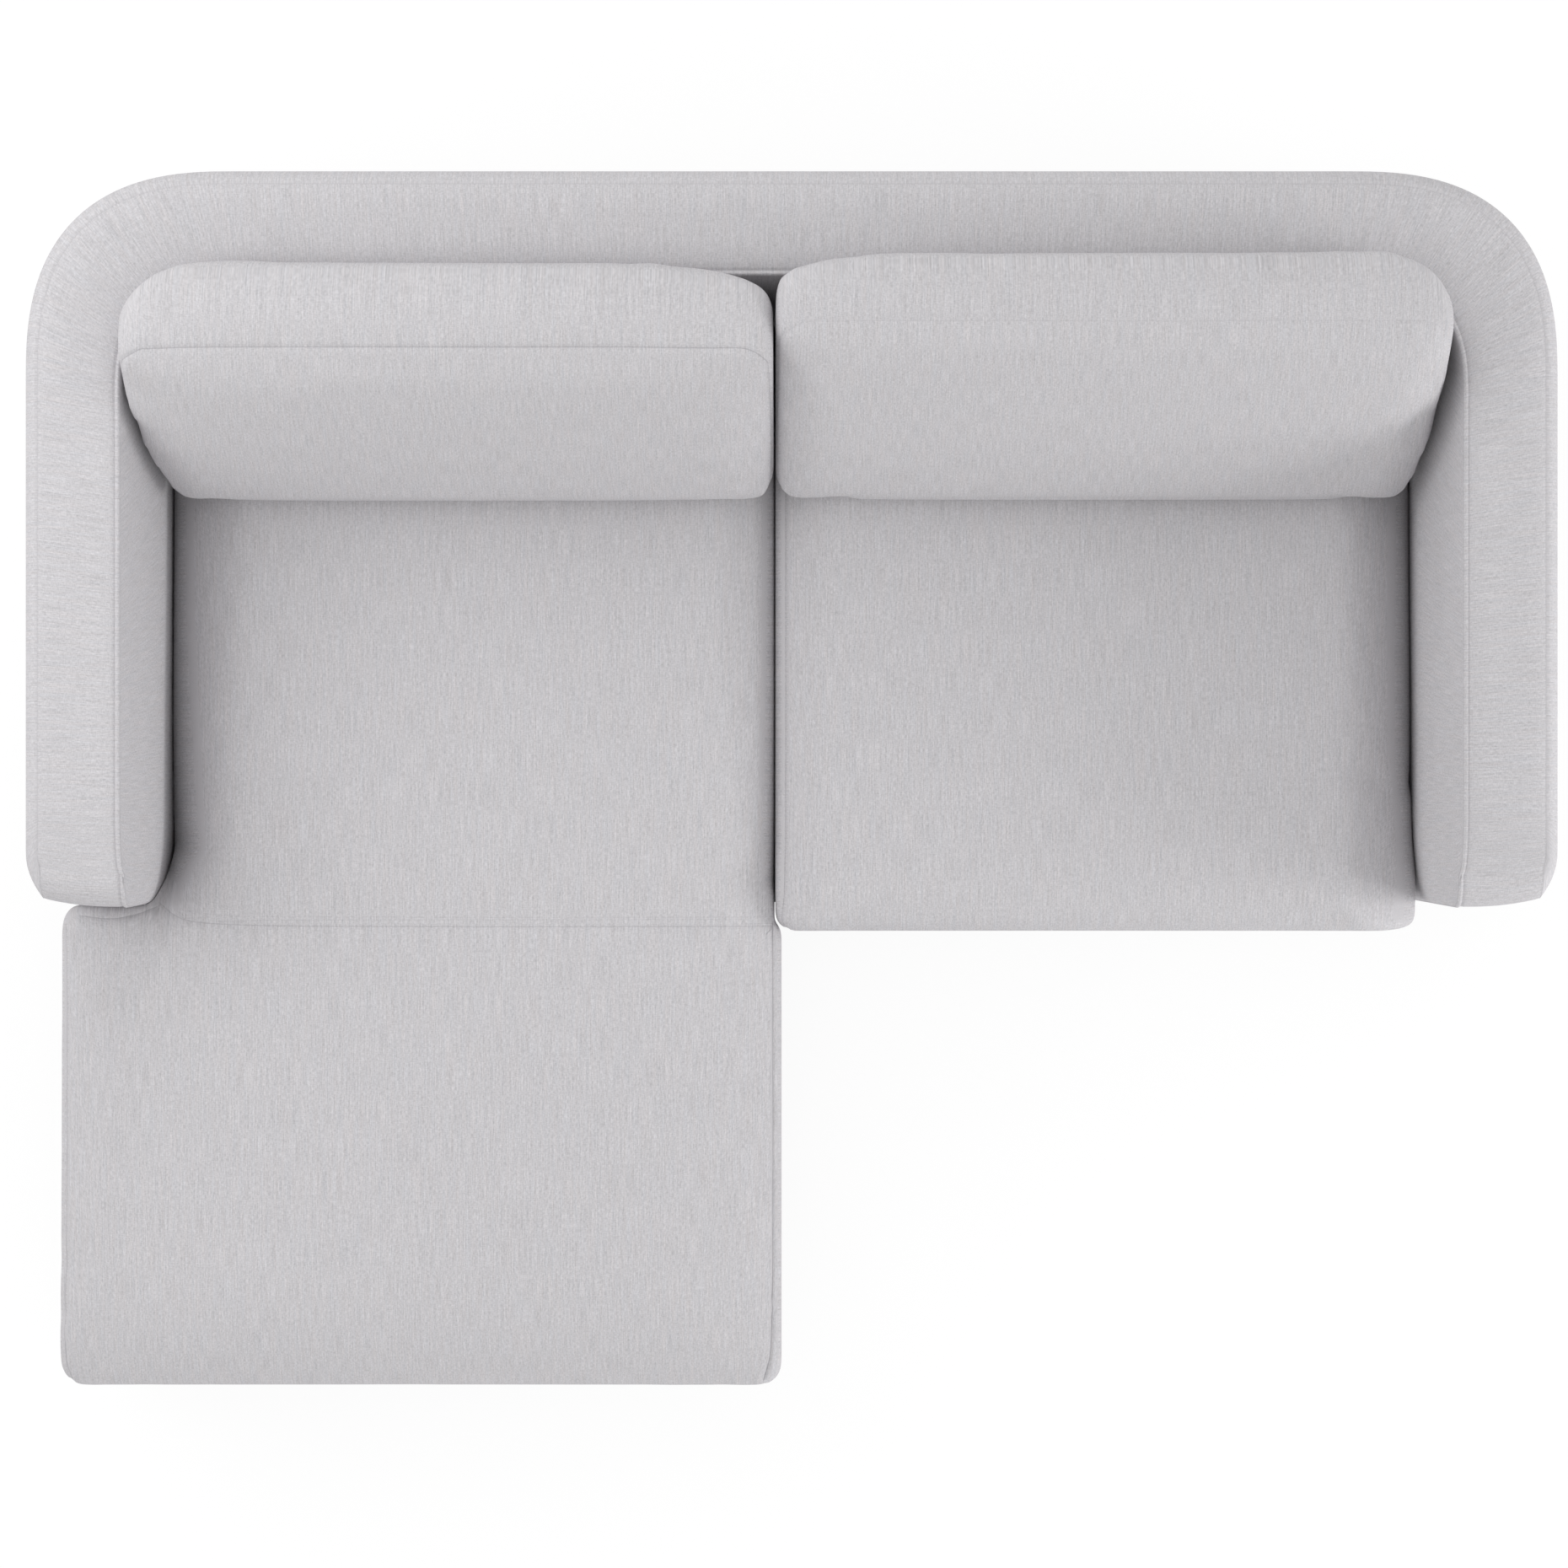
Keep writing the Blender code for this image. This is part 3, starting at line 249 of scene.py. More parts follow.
class Graph:
    """A hand for wiring shader nodes."""

    def __init__(self, tree: bpy.types.NodeTree) -> None:
        """Keeps the tree that the nodes go into."""
        self.tree = tree

    def add(self, kind: str, **settings: object) -> bpy.types.Node:
        """Adds a node and sets its properties."""
        node = self.tree.nodes.new(kind)
        for key, value in settings.items():
            setattr(node, key, value)
        return node

    def wire(self, value: object, socket: bpy.types.NodeSocket) -> None:
        """Links a socket, or sets a plain value."""
        if isinstance(value, bpy.types.NodeSocket):
            self.tree.links.new(value, socket)
        else:
            socket.default_value = value

    def math(self, operation: str, *values: object) -> bpy.types.NodeSocket:
        """Does one sum on sockets or numbers."""
        node = self.add("ShaderNodeMath", operation=operation)
        for value, socket in zip(values, node.inputs):
            self.wire(value, socket)
        return node.outputs[0]

    def scaled(self, vector: bpy.types.NodeSocket, scale: Sequence[float]) -> bpy.types.NodeSocket:
        """Stretches coordinates along their axes."""
        node = self.add("ShaderNodeVectorMath", operation="MULTIPLY")
        self.wire(vector, node.inputs[0])
        node.inputs[1].default_value = scale
        return node.outputs[0]

    def noise(
        self, vector: bpy.types.NodeSocket, scale: Sequence[float], detail: float = 1.0
    ) -> bpy.types.NodeSocket:
        """Makes a noise value at a scale per metre along each axis."""
        node = self.add("ShaderNodeTexNoise")
        node.inputs["Scale"].default_value = 1.0
        node.inputs["Detail"].default_value = detail
        self.wire(self.scaled(vector, scale), node.inputs["Vector"])
        return node.outputs["Fac"]

    def ramp(
        self, value: bpy.types.NodeSocket, low: float, high: float, first: float, last: float
    ) -> bpy.types.NodeSocket:
        """Maps a value smoothly from one span to another."""
        node = self.add("ShaderNodeMapRange", interpolation_type="SMOOTHSTEP")
        for socket, number in zip(node.inputs, (value, low, high, first, last)):
            self.wire(number, socket)
        return node.outputs[0]

    def blend(self, share: object, first: object, second: object) -> bpy.types.NodeSocket:
        """Mixes two colours."""
        node = self.add("ShaderNodeMix", data_type="RGBA")
        self.wire(share, node.inputs[0])
        self.wire(first, node.inputs[6])
        self.wire(second, node.inputs[7])
        return node.outputs[2]

    def wave(self, value: bpy.types.NodeSocket, pitch: float) -> bpy.types.NodeSocket:
        """Makes a sine wave with a pitch in metres."""
        return self.math("SINE", self.math("MULTIPLY", value, math.tau / pitch))

    def split(self, vector: bpy.types.NodeSocket) -> dict[str, bpy.types.NodeSocket]:
        """Splits a vector into its parts by axis."""
        node = self.add("ShaderNodeSeparateXYZ")
        self.wire(vector, node.inputs[0])
        return {axis: node.outputs[axis] for axis in "XYZ"}

    def join(self, x: bpy.types.NodeSocket, y: bpy.types.NodeSocket) -> bpy.types.NodeSocket:
        """Joins two coordinates into a vector with a third of 0."""
        node = self.add("ShaderNodeCombineXYZ")
        self.wire(x, node.inputs["X"])
        self.wire(y, node.inputs["Y"])
        return node.outputs[0]

    def group(self, tree: bpy.types.NodeTree, **values: object) -> bpy.types.Node:
        """Places a node group and feeds its inputs."""
        node = self.add("ShaderNodeGroup", node_tree=tree)
        for key, value in values.items():
            self.wire(value, node.inputs[key.replace("_", " ").capitalize()])
        return node


def open_group(name: str, inputs: dict[str, str], outputs: dict[str, str]) -> tuple:
    """Starts a node group.

    Args:
        name: The group's name.
        inputs: The socket types of its inputs by name.
        outputs: The socket types of its outputs by name.

    Returns:
        Its tree, a graph on it, its input node and its output node.
    """
    tree = bpy.data.node_groups.new(name, "ShaderNodeTree")
    for side, sockets in (("INPUT", inputs), ("OUTPUT", outputs)):
        for label, kind in sockets.items():
            tree.interface.new_socket(name=label, in_out=side, socket_type=kind)
    graph = Graph(tree)
    return tree, graph, graph.add("NodeGroupInput"), graph.add("NodeGroupOutput")


class ClothGroups:
    """The node groups that the cloths share."""

    def __init__(self) -> None:
        """Builds each group once."""
        self.yarn = self.make_yarn()
        self.seam = self.make_seam()
        self.mottle = self.make_mottle()

    @staticmethod
    def make_yarn() -> bpy.types.NodeTree:
        """Long and short flecks of a melange weave, as a tone, a tint and a height."""
        tree, graph, given, out = open_group(
            "melange_yarn",
            {"Place": "NodeSocketVector"},
            {"Tone": "NodeSocketFloat", "Tint": "NodeSocketFloat", "Height": "NodeSocketFloat"},
        )
        place = given.outputs["Place"]
        long_fleck = graph.noise(place, (520.0, 20.0, 20.0), 2.0)
        short_fleck = graph.noise(place, (700.0, 150.0, 150.0), 1.0)
        cross_fleck = graph.noise(place, (260.0, 620.0, 620.0), 1.0)
        patch = graph.noise(place, (30.0, 7.0, 7.0), 2.0)
        tone = graph.math("SUBTRACT", long_fleck, 0.5)
        for value, share in ((short_fleck, 1.05), (cross_fleck, 0.85), (patch, 0.10)):
            part = graph.math("MULTIPLY", graph.math("SUBTRACT", value, 0.5), share)
            tone = graph.math("ADD", tone, part)
        graph.wire(graph.math("ADD", tone, 0.5), out.inputs["Tone"])
        graph.wire(graph.noise(place, (190.0, 12.0, 12.0), 1.0), out.inputs["Tint"])
        spot = graph.split(place)
        threads = graph.math("MULTIPLY", graph.wave(spot["X"], WARP_PITCH), graph.wave(spot["Y"], WEFT_PITCH))
        weave = graph.math("MULTIPLY", threads, 0.25)
        rough = graph.math("MULTIPLY", graph.math("SUBTRACT", short_fleck, 0.5), 1.2)
        graph.wire(graph.math("ADD", weave, graph.math("ADD", rough, 0.5)), out.inputs["Height"])
        return tree

    @staticmethod
    def make_seam() -> bpy.types.NodeTree:
        """Painted shade along a seam's groove, and the groove's dip as a height, from a piece's seam map of
        offset and nearness.
        """
        tree, graph, given, out = open_group(
            "seam_shade_and_dip",
            {"Seam": "NodeSocketVector"},
            {"Line": "NodeSocketFloat", "Height": "NodeSocketFloat"},
        )
        seam = graph.split(given.outputs["Seam"])
        offset = graph.math("ABSOLUTE", seam["X"])
        near = seam["Y"]
        # Painted shade in the seam's groove: darkest on the seam's middle, scaled by its nearness and
        # strength.
        line = graph.math("MULTIPLY", graph.ramp(offset, *SEAM_SHADE_EDGE, 1.0, 0.0), near)
        dip = graph.math("MULTIPLY", graph.ramp(offset, 0.0, STITCH_DIP, -1.0, 0.0), near)
        graph.wire(line, out.inputs["Line"])
        graph.wire(dip, out.inputs["Height"])
        return tree

    @staticmethod
    def make_mottle() -> bpy.types.NodeTree:
        """A fine irregular grain, the same along every axis."""
        tree, graph, given, out = open_group(
            "fine_mottle",
            {"Place": "NodeSocketVector", "Scale": "NodeSocketFloat"},
            {"Tone": "NodeSocketFloat", "Height": "NodeSocketFloat"},
        )
        scaled = graph.add("ShaderNodeVectorMath", operation="SCALE")
        graph.wire(given.outputs["Place"], scaled.inputs[0])
        graph.wire(given.outputs["Scale"], scaled.inputs["Scale"])
        graph.wire(graph.noise(scaled.outputs[0], (1.0, 1.0, 1.0), 3.0), out.inputs["Tone"])
        graph.wire(graph.noise(scaled.outputs[0], (3.0, 3.0, 3.0), 1.0), out.inputs["Height"])
        return tree


def open_material(name: str, roughness: float) -> tuple:
    """Starts a material.

    Args:
        name: The material's name.
        roughness: Its roughness.

    Returns:
        The material, a graph on its tree and its shader node.
    """
    finish = bpy.data.materials.new(name)
    finish.use_nodes = True
    shader = finish.node_tree.nodes["Principled BSDF"]
    shader.inputs["Roughness"].default_value = roughness
    return finish, Graph(finish.node_tree), shader


def raise_surface(
    graph: Graph, shader: bpy.types.Node, height: bpy.types.NodeSocket, depth: float
) -> None:
    """Feeds a height through a bump node into a shader.

    Args:
        graph: The material's graph.
        shader: The shader that takes the normal.
        height: The height, where 1 is full.
        depth: What a full height measures, in metres.
    """
    bump = graph.add("ShaderNodeBump")
    bump.inputs["Distance"].default_value = depth
    graph.wire(height, bump.inputs["Height"])
    graph.wire(bump.outputs["Normal"], shader.inputs["Normal"])


def colour_between(
    graph: Graph,
    shader: bpy.types.Node,
    share: bpy.types.NodeSocket,
    dark: tuple[float, float, float],
    light: tuple[float, float, float],
) -> None:
    """Colours a shader between a dark tone, at a share of 0, and a light one."""
    graph.wire(graph.blend(share, (*dark, 1.0), (*light, 1.0)), shader.inputs["Base Color"])


def seen_rays(graph: Graph) -> bpy.types.NodeSocket:
    """Gives 1 on the rays that show a surface, and 0 on those that only carry its light."""
    path = graph.add("ShaderNodeLightPath")
    seen = graph.math("MAXIMUM", path.outputs["Is Camera Ray"], path.outputs["Is Glossy Ray"])
    return graph.math("MAXIMUM", seen, path.outputs["Is Transmission Ray"])


@dataclass(frozen=True)
class WovenFinish:
    """The grey melange upholstery cloth."""

    name: str
    run: YarnRun
    colour: tuple[float, float, float] = (0.560, 0.549, 0.558)
    contrast: float = 0.22
    roughness: float = 0.92
    cool: tuple[float, float, float] = (0.95, 0.99, 1.05)
    warm: tuple[float, float, float] = (1.05, 1.00, 0.99)
    tint_share: float = 0.55
    # Colour and strength of the painted shade that darkens the cloth along the seams' grooves.
    seam_shade_colour: tuple[float, float, float] = (0.20, 0.19, 0.21)
    seam_shade_share: float = 0.42
    seam_dip: float = 1.6
    sheen: float = 0.06
    specular: float = 0.15
    relief: float = 0.0006
    side_face: tuple[float, float] = (0.72, 0.80)

    def place(self, graph: Graph) -> bpy.types.NodeSocket:
        """Finds the coordinates that the yarns follow: across them, and along them."""
        if self.run is YarnRun.PANEL:
            return graph.add("ShaderNodeUVMap", uv_map="cloth").outputs["UV"]
        spot = graph.split(graph.add("ShaderNodeTexCoord").outputs["Object"])
        facing = graph.split(graph.add("ShaderNodeNewGeometry").outputs["Normal"])
        sideways = graph.ramp(graph.math("ABSOLUTE", facing["X"]), *self.side_face, 0.0, 1.0)
        front = graph.join(spot["X"], graph.math("ADD", spot["Y"], spot["Z"]))
        return graph.blend(sideways, front, graph.join(spot["Y"], spot["Z"]))

    def make(self, groups: ClothGroups) -> bpy.types.Material:
        """Builds the material."""
        finish, graph, shader = open_material(self.name, self.roughness)
        yarn = graph.group(groups.yarn, place=self.place(graph))
        seam_map = graph.add("ShaderNodeAttribute", attribute_name="seam")
        seam = graph.group(groups.seam, seam=seam_map.outputs["Vector"])
        dark = (*(part * (1 - self.contrast) for part in self.colour), 1.0)
        light = (*(min(1.0, part * (1 + self.contrast)) for part in self.colour), 1.0)
        base = graph.blend(yarn.outputs["Tone"], dark, light)
        tint = graph.blend(yarn.outputs["Tint"], (*self.cool, 1.0), (*self.warm, 1.0))
        tinted = graph.add("ShaderNodeMix", data_type="RGBA", blend_type="MULTIPLY")
        tinted.inputs[0].default_value = self.tint_share
        graph.wire(base, tinted.inputs[6])
        graph.wire(tint, tinted.inputs[7])
        # Painted shade: the cloth is darkened towards the seam shade colour along each seam's groove.
        shade = graph.math("MULTIPLY", seam.outputs["Line"], self.seam_shade_share)
        seam_shaded = graph.blend(shade, tinted.outputs[2], (*self.seam_shade_colour, 1.0))
        graph.wire(seam_shaded, shader.inputs["Base Color"])
        shader.inputs["Sheen Weight"].default_value = self.sheen
        shader.inputs["Sheen Roughness"].default_value = 0.5
        shader.inputs["Specular IOR Level"].default_value = self.specular
        dip = graph.math("MULTIPLY", seam.outputs["Height"], self.seam_dip)
        relief = graph.math("ADD", graph.math("MULTIPLY", yarn.outputs["Height"], 0.5), dip)
        raise_surface(graph, shader, relief, self.relief)
        return finish


@dataclass(frozen=True)
class GrainFinish:
    """Planed timber with its grain along one axis."""

    name: str
    light: tuple[float, float, float] = (0.66, 0.49, 0.31)
    dark: tuple[float, float, float] = (0.46, 0.31, 0.17)
    roughness: float = 0.62
    pore_depth: float = 0.0002

    def make(self) -> bpy.types.Material:
        """Builds the material."""
        finish, graph, shader = open_material(self.name, self.roughness)
        place = graph.add("ShaderNodeTexCoord").outputs["Object"]
        grain = graph.noise(place, (6.0, 60.0, 60.0), 4.0)
        pores = graph.noise(place, (30.0, 900.0, 900.0), 1.0)
        tone = graph.math("ADD", graph.math("MULTIPLY", grain, 1.4), graph.math("MULTIPLY", pores, 0.3))
        colour_between(graph, shader, graph.math("SUBTRACT", tone, 0.35), self.dark, self.light)
        raise_surface(graph, shader, pores, self.pore_depth)
        return finish


@dataclass(frozen=True)
class MottledFinish:
    """A plain stuff with an even fine grain, such as felt, foam or moulded plastic."""

    name: str
    dark: tuple[float, float, float]
    light: tuple[float, float, float]
    roughness: float
    scale: float
    depth: float
    metallic: float = 0.0

    def make(self, groups: ClothGroups) -> bpy.types.Material:
        """Builds the material."""
        finish, graph, shader = open_material(self.name, self.roughness)
        shader.inputs["Metallic"].default_value = self.metallic
        place = graph.add("ShaderNodeTexCoord").outputs["Object"]
        grain = graph.group(groups.mottle, place=place, scale=self.scale)
        share = graph.ramp(grain.outputs["Tone"], 0.3, 0.7, 0.0, 1.0)
        colour_between(graph, shader, share, self.dark, self.light)
        raise_surface(graph, shader, grain.outputs["Height"], self.depth)
        return finish


@dataclass(frozen=True)
class StrapFinish:
    """Woven tape or strap, ribbed along its run, with two paler stripes if it is wide."""

    name: str
    dark: tuple[float, float, float]
    light: tuple[float, float, float]
    rib: float
    stripes: bool = False
    stripe_place: float = 0.018
    stripe_edge: tuple[float, float] = (0.0025, 0.0035)
    roughness: float = 0.82
    depth: float = 0.0003

    def make(self) -> bpy.types.Material:
        """Builds the material."""
        finish, graph, shader = open_material(self.name, self.roughness)
        spot = graph.split(graph.add("ShaderNodeUVMap", uv_map="cloth").outputs["UV"])
        threads = graph.math("MULTIPLY", graph.wave(spot["X"], self.rib), graph.wave(spot["Y"], self.rib))
        weave = graph.math("ADD", graph.math("MULTIPLY", threads, 0.5), 0.5)
        share = weave
        if self.stripes:
            middle = graph.math("ABSOLUTE", spot["Y"])
            band = graph.math("ABSOLUTE", graph.math("SUBTRACT", middle, self.stripe_place))
            stripe = graph.ramp(band, *self.stripe_edge, 1.0, 0.0)
            plain = graph.math("MULTIPLY", weave, 0.3)
            share = graph.math("ADD", plain, graph.math("MULTIPLY", stripe, 0.7))
        colour_between(graph, shader, share, self.dark, self.light)
        raise_surface(graph, shader, weave, self.depth)
        return finish


class Finishes:
    """Every finish of the sofa, built once."""

    def __init__(self) -> None:
        """Builds the materials."""
        groups = ClothGroups()
        self.panel_cloth = WovenFinish("grey_weave_panels", YarnRun.PANEL).make(groups)
        self.cushion_cloth = WovenFinish("grey_weave_cushions", YarnRun.CUSHION).make(groups)
        self.timber = GrainFinish("planed_timber").make()
        self.plastic = MottledFinish(
            "moulded_black_plastic", (0.014, 0.014, 0.015), (0.024, 0.024, 0.025), 0.46, 900.0, 0.00008
        ).make(groups)
        self.felt = MottledFinish(
            "dense_felt", (0.07, 0.07, 0.075), (0.15, 0.15, 0.155), 0.96, 700.0, 0.0005
        ).make(groups)
        self.lining = MottledFinish(
            "bonded_lining", (0.030, 0.030, 0.033), (0.062, 0.062, 0.066), 0.95, 420.0, 0.0003
        ).make(groups)
        self.steel = MottledFinish(
            "zinc_plate", (0.50, 0.51, 0.53), (0.66, 0.66, 0.67), 0.34, 260.0, 0.00004, 1.0
        ).make(groups)
        self.strap = StrapFinish(
            "elastic_webbing", (0.055, 0.055, 0.062), (0.30, 0.30, 0.31), 0.0016, stripes=True
        ).make()
        self.tape = StrapFinish("zip_tape", (0.36, 0.35, 0.37), (0.50, 0.49, 0.51), 0.0009).make()


# Cloth panels


@dataclass
class Spot:
    """One place on a cloth panel, with its place in the weave and its seam: how far off the seam it lies, and
    how strong the seam's painted shade is there.
    """

    point: Vector
    run: float
    across: float
    lift: float = 0.0
    offset: float = 1.0
    near: float = 0.0


class PanelMesh:
    """A mesh sewn together from mapped grids."""

    tolerance = 0.00004

    def __init__(self) -> None:
        """Starts an empty mesh with its maps."""
        self.bm = bmesh.new()
        self.map = self.bm.loops.layers.uv.new("cloth")
        # Per vertex: the offset from the nearest seam, and the strength of that seam's painted shade.
        self.seam = self.bm.verts.layers.float_vector.new("seam")
        self.lift = self.bm.verts.layers.float.new("lift")

    def add(self, columns: int, rows: int, place: Callable[[int, int], Spot]) -> None:
        """Adds a grid whose vertices go where place says.

        Args:
            columns: How many faces the grid has along its run.
            rows: How many faces it has across.
            place: Gives the spot of a column and a row.
        """
        made = bmesh.ops.create_grid(self.bm, x_segments=columns, y_segments=rows, size=0.5)
        spots = {}
        for vert in made["verts"]:
            column = round((vert.co.x + 0.5) * columns)
            row = round((vert.co.y + 0.5) * rows)
            spot = place(column, row)
            spots[vert] = spot
            vert.co = spot.point
            vert[self.lift] = spot.lift
            vert[self.seam] = Vector((spot.offset, spot.near, 0.0))
        for face in {face for vert in made["verts"] for face in vert.link_faces}:
            for loop in face.loops:
                spot = spots[loop.vert]
                loop[self.map].uv = (spot.run, spot.across)

    def sew(self, name: str) -> bpy.types.Object:
        """Joins the panels, raises their lifted places and makes the piece."""
        bmesh.ops.remove_doubles(self.bm, verts=self.bm.verts, dist=self.tolerance)
        bmesh.ops.recalc_face_normals(self.bm, faces=self.bm.faces)
        self.bm.normal_update()
        moves = [vert.normal * vert[self.lift] for vert in self.bm.verts]
        for vert, move in zip(self.bm.verts, moves):
            vert.co += move
        return add_piece(name, self.bm, recalculate=False)


# Arms and back


@dataclass
class Wrap:
    """The upholstered wrap of arms and back, topped by one strip that runs down the arms' fronts."""

    half_width: float
    back_y: float
    front_y: float
    seat_half: float
    seat_back_y: float
    foot_z: float
    top_z: float
    outer_corner: float = 0.285
    inner_corner_top: float = 0.160
    inner_corner_foot: float = 0.004
    corner_power: float = 2.6
    shoulder: float = 0.0235
    shoulder_drop: float = 0.075
    slope: float = 0.042
    slope_drop: float = 0.225
    roll: float = 0.045
    crown: float = 0.006
    outer_seam_x: float = 1.0234
    inner_seam_x: float = 0.9075
    front_reach: float = 0.075
    inner_reach: float = 0.130
    wall_ease: float = 0.008
    wall_spread: float = 0.004
    spread_end: float = 0.45
    outer_setback: float = 0.013
    inner_setback: float = 0.002
    welt: float = 0.0068
    welt_height: float = 0.0016
    outer_dip: tuple[float, float] = (0.0009, 0.0028)
    welt_dip: tuple[float, float] = (0.0007, 0.0014)
    welt_dip_gap: float = 0.0006
    stitch_gap: float = 0.0003
    seam_fade: tuple[float, float] = (0.004, 0.010)
    panel_puff: float = 0.0012
    puff_start: float = 0.03
    lining_inset: float = 0.03
    lining_rise: float = 0.0022
    lining_width: float = 0.17
    lining_rows: int = 6
    front_count: int = 14
    arm_count: int = 30
    corner_count: int = 34
    back_count: int = 30
    inner_offsets: tuple[float, ...] = (
        0.0, 0.0007, 0.0018, 0.0034, 0.0050, 0.0061, 0.0072, 0.0084, 0.011, 0.017
    )
    outer_offsets: tuple[float, ...] = (0.0, 0.0015, 0.003, 0.006, 0.012)
    middle_count: int = 12
    depths: list[float] = field(default_factory=list)

    def __post_init__(self) -> None:
        """Lists the levels of the upright panels, close together where they bend."""
        roll_angles = steps(0.0, math.pi / 2, 11)
        levels = [self.roll * (1 - math.cos(angle)) for angle in roll_angles]
        levels += steps(self.roll, self.shoulder_drop, 4)[1:]
        levels += steps(self.shoulder_drop, self.slope_drop, 9)[1:]
        levels += steps(self.slope_drop, self.top_z - self.foot_z, 10)[1:]
        self.depths = levels

    @classmethod
    def from_frame(cls) -> "Wrap":
        """Reads the wrap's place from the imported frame."""
        low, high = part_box("wrap_cover")
        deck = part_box("main_deck_cloth")[1]
        return cls(
            half_width=high.x,
            back_y=high.y,
            front_y=low.y,
            seat_half=deck.x + CLEAR / 2,
            seat_back_y=deck.y + CLEAR / 2,
            foot_z=low.z,
            top_z=high.z - cls.crown,
        )

    def shoulder_at(self, depth: float) -> float:
        """Says how far the outer side still draws in at a depth below the top."""
        if depth >= self.shoulder_drop:
            return 0.0
        return self.shoulder * (1 - math.sqrt(1 - (1 - depth / self.shoulder_drop) ** 2))

    def slope_at(self, depth: float) -> float:
        """Says how far the inner side draws in at a depth below the top."""
        return self.slope * max(0.0, 1 - depth / self.slope_drop)

    def front_at(self, depth: float) -> float:
        """Says where the arm's front is at a depth below the top."""
        if depth >= self.roll:
            return self.front_y
        return self.front_y + self.roll * (1 - math.sqrt(1 - (1 - depth / self.roll) ** 2))

    def inner_corner_at(self, depth: float) -> float:
        """Gives the reach of the inner corner at a depth below the top."""
        share = self.slope_at(depth) / self.slope
        return self.inner_corner_foot + (self.inner_corner_top - self.inner_corner_foot) * share

    def wall_half(self, depth: float, y: float) -> float:
        """Says how far aside the inner face stands at a depth below the top, and a place."""
        draw = self.slope_at(depth)
        spread = self.wall_spread * (1 - ease(y, self.front_y + self.inner_reach, self.spread_end))
        return self.seat_half + draw + (self.wall_ease + spread) * (1 - draw / self.slope)

    def wall_at(self, y: float, depth: float) -> float:
        """Says how far aside the inner face stands at a place along the arm, and a depth."""
        side_x = self.wall_half(depth, y)
        past = self.front_y + self.inner_reach - y
        share = min(1.0, max(0.0, past / (self.inner_reach - self.inner_setback)))
        return side_x + (self.inner_seam_x - side_x) * (1 - math.sqrt(1 - share**2))

    def half_edge(self, edge: Edge, depth: float) -> list[Vector]:
        """Lists half an edge in plan, from the arm's front to the middle of the back.

        Args:
            edge: Which edge of the strip.
            depth: How far below the top.

        Returns:
            The points of the right half.
        """
        outer = edge is Edge.OUTER
        draw = self.shoulder_at(depth) if outer else self.slope_at(depth)
        side_x = self.half_width - draw if outer else self.wall_half(depth, self.back_y)
        back_y = self.back_y - draw if outer else self.seat_back_y + draw
        corner = self.outer_corner - draw if outer else self.inner_corner_at(depth)
        seam_x = self.outer_seam_x if outer else self.inner_seam_x
        setback = self.outer_setback if outer else self.inner_setback
        zone_end = self.front_y + self.inner_reach
        zone = self.front_at(depth) + setback - zone_end
        shift = self.inner_reach - self.front_reach
        points = []
        for angle in steps(math.pi / 2, 0.0, self.front_count)[:-1]:
            share = math.sin(angle)
            past = max(0.0, (-zone * share - shift) / (-zone - shift))
            bend = past**2 if outer else 1 - math.sqrt(1 - share**2)
            plain_x = side_x if outer else self.wall_half(depth, zone_end)
            points.append(Vector((plain_x + (seam_x - plain_x) * bend, zone_end + zone * share)))
        for y in steps(zone_end, back_y - corner, self.arm_count)[:-1]:
            points.append(Vector((side_x if outer else self.wall_half(depth, y), y)))
        power = 2 / self.corner_power
        for angle in steps(0.0, math.pi / 2, self.corner_count)[:-1]:
            x = side_x - corner + corner * math.cos(angle) ** power
            points.append(Vector((x, back_y - corner + corner * math.sin(angle) ** power)))
        for x in steps(side_x - corner, 0.0, self.back_count):
            points.append(Vector((x, back_y)))
        return points

    def edge(self, edge: Edge, depth: float) -> list[Vector]:
        """Lists a whole edge in plan, from the left arm's front to the right arm's."""
        half = self.half_edge(edge, depth)
        return [Vector((-point.x, point.y)) for point in half] + half[-2::-1]

    def runs(self) -> list[float]:
        """Lists how far along the middle of the strip each station lies."""
        outer = self.edge(Edge.OUTER, self.shoulder_drop)
        inner = self.edge(Edge.INNER, self.shoulder_drop)
        return lengths_along([(a + b) / 2 for a, b in zip(outer, inner)])

    def shares(self, width: float) -> list[float]:
        """Lists the strip's columns as shares from its outer seam to its inner one."""
        outer = [offset / width for offset in self.outer_offsets]
        inner = [1 - offset / width for offset in self.inner_offsets[::-1]]
        return outer + steps(outer[-1], inner[0], self.middle_count)[1:-1] + inner

    def front_offset(self, share: float) -> float:
        """Says how far an arm's front stands back at a share across the strip."""
        return self.outer_setback * (1 - share) ** 2.2 + self.inner_setback * share**2

    def strip_lift(self, from_outer: float, from_inner: float) -> float:
        """Gives the relief of the strip: a welt along its inner seam, a dip at its outer one."""
        depth, reach = self.outer_dip
        lift = -depth * math.exp(-((from_outer / reach) ** 2))
        if from_inner < self.welt:
            lift += self.welt_height * math.sin(math.pi * from_inner / self.welt) ** 0.6
        depth, reach = self.welt_dip
        lift -= depth * math.exp(-(((from_inner - self.welt - self.welt_dip_gap) / reach) ** 2))
        return lift

    def strip_spot(self, outer: Vector, inner: Vector, row: int, place: Vector, run: float) -> Spot:
        """Makes the spot of one column of the strip."""
        width = (outer - inner).length
        share = self.shares(width)[row]
        from_outer = share * width
        from_inner = width - from_outer
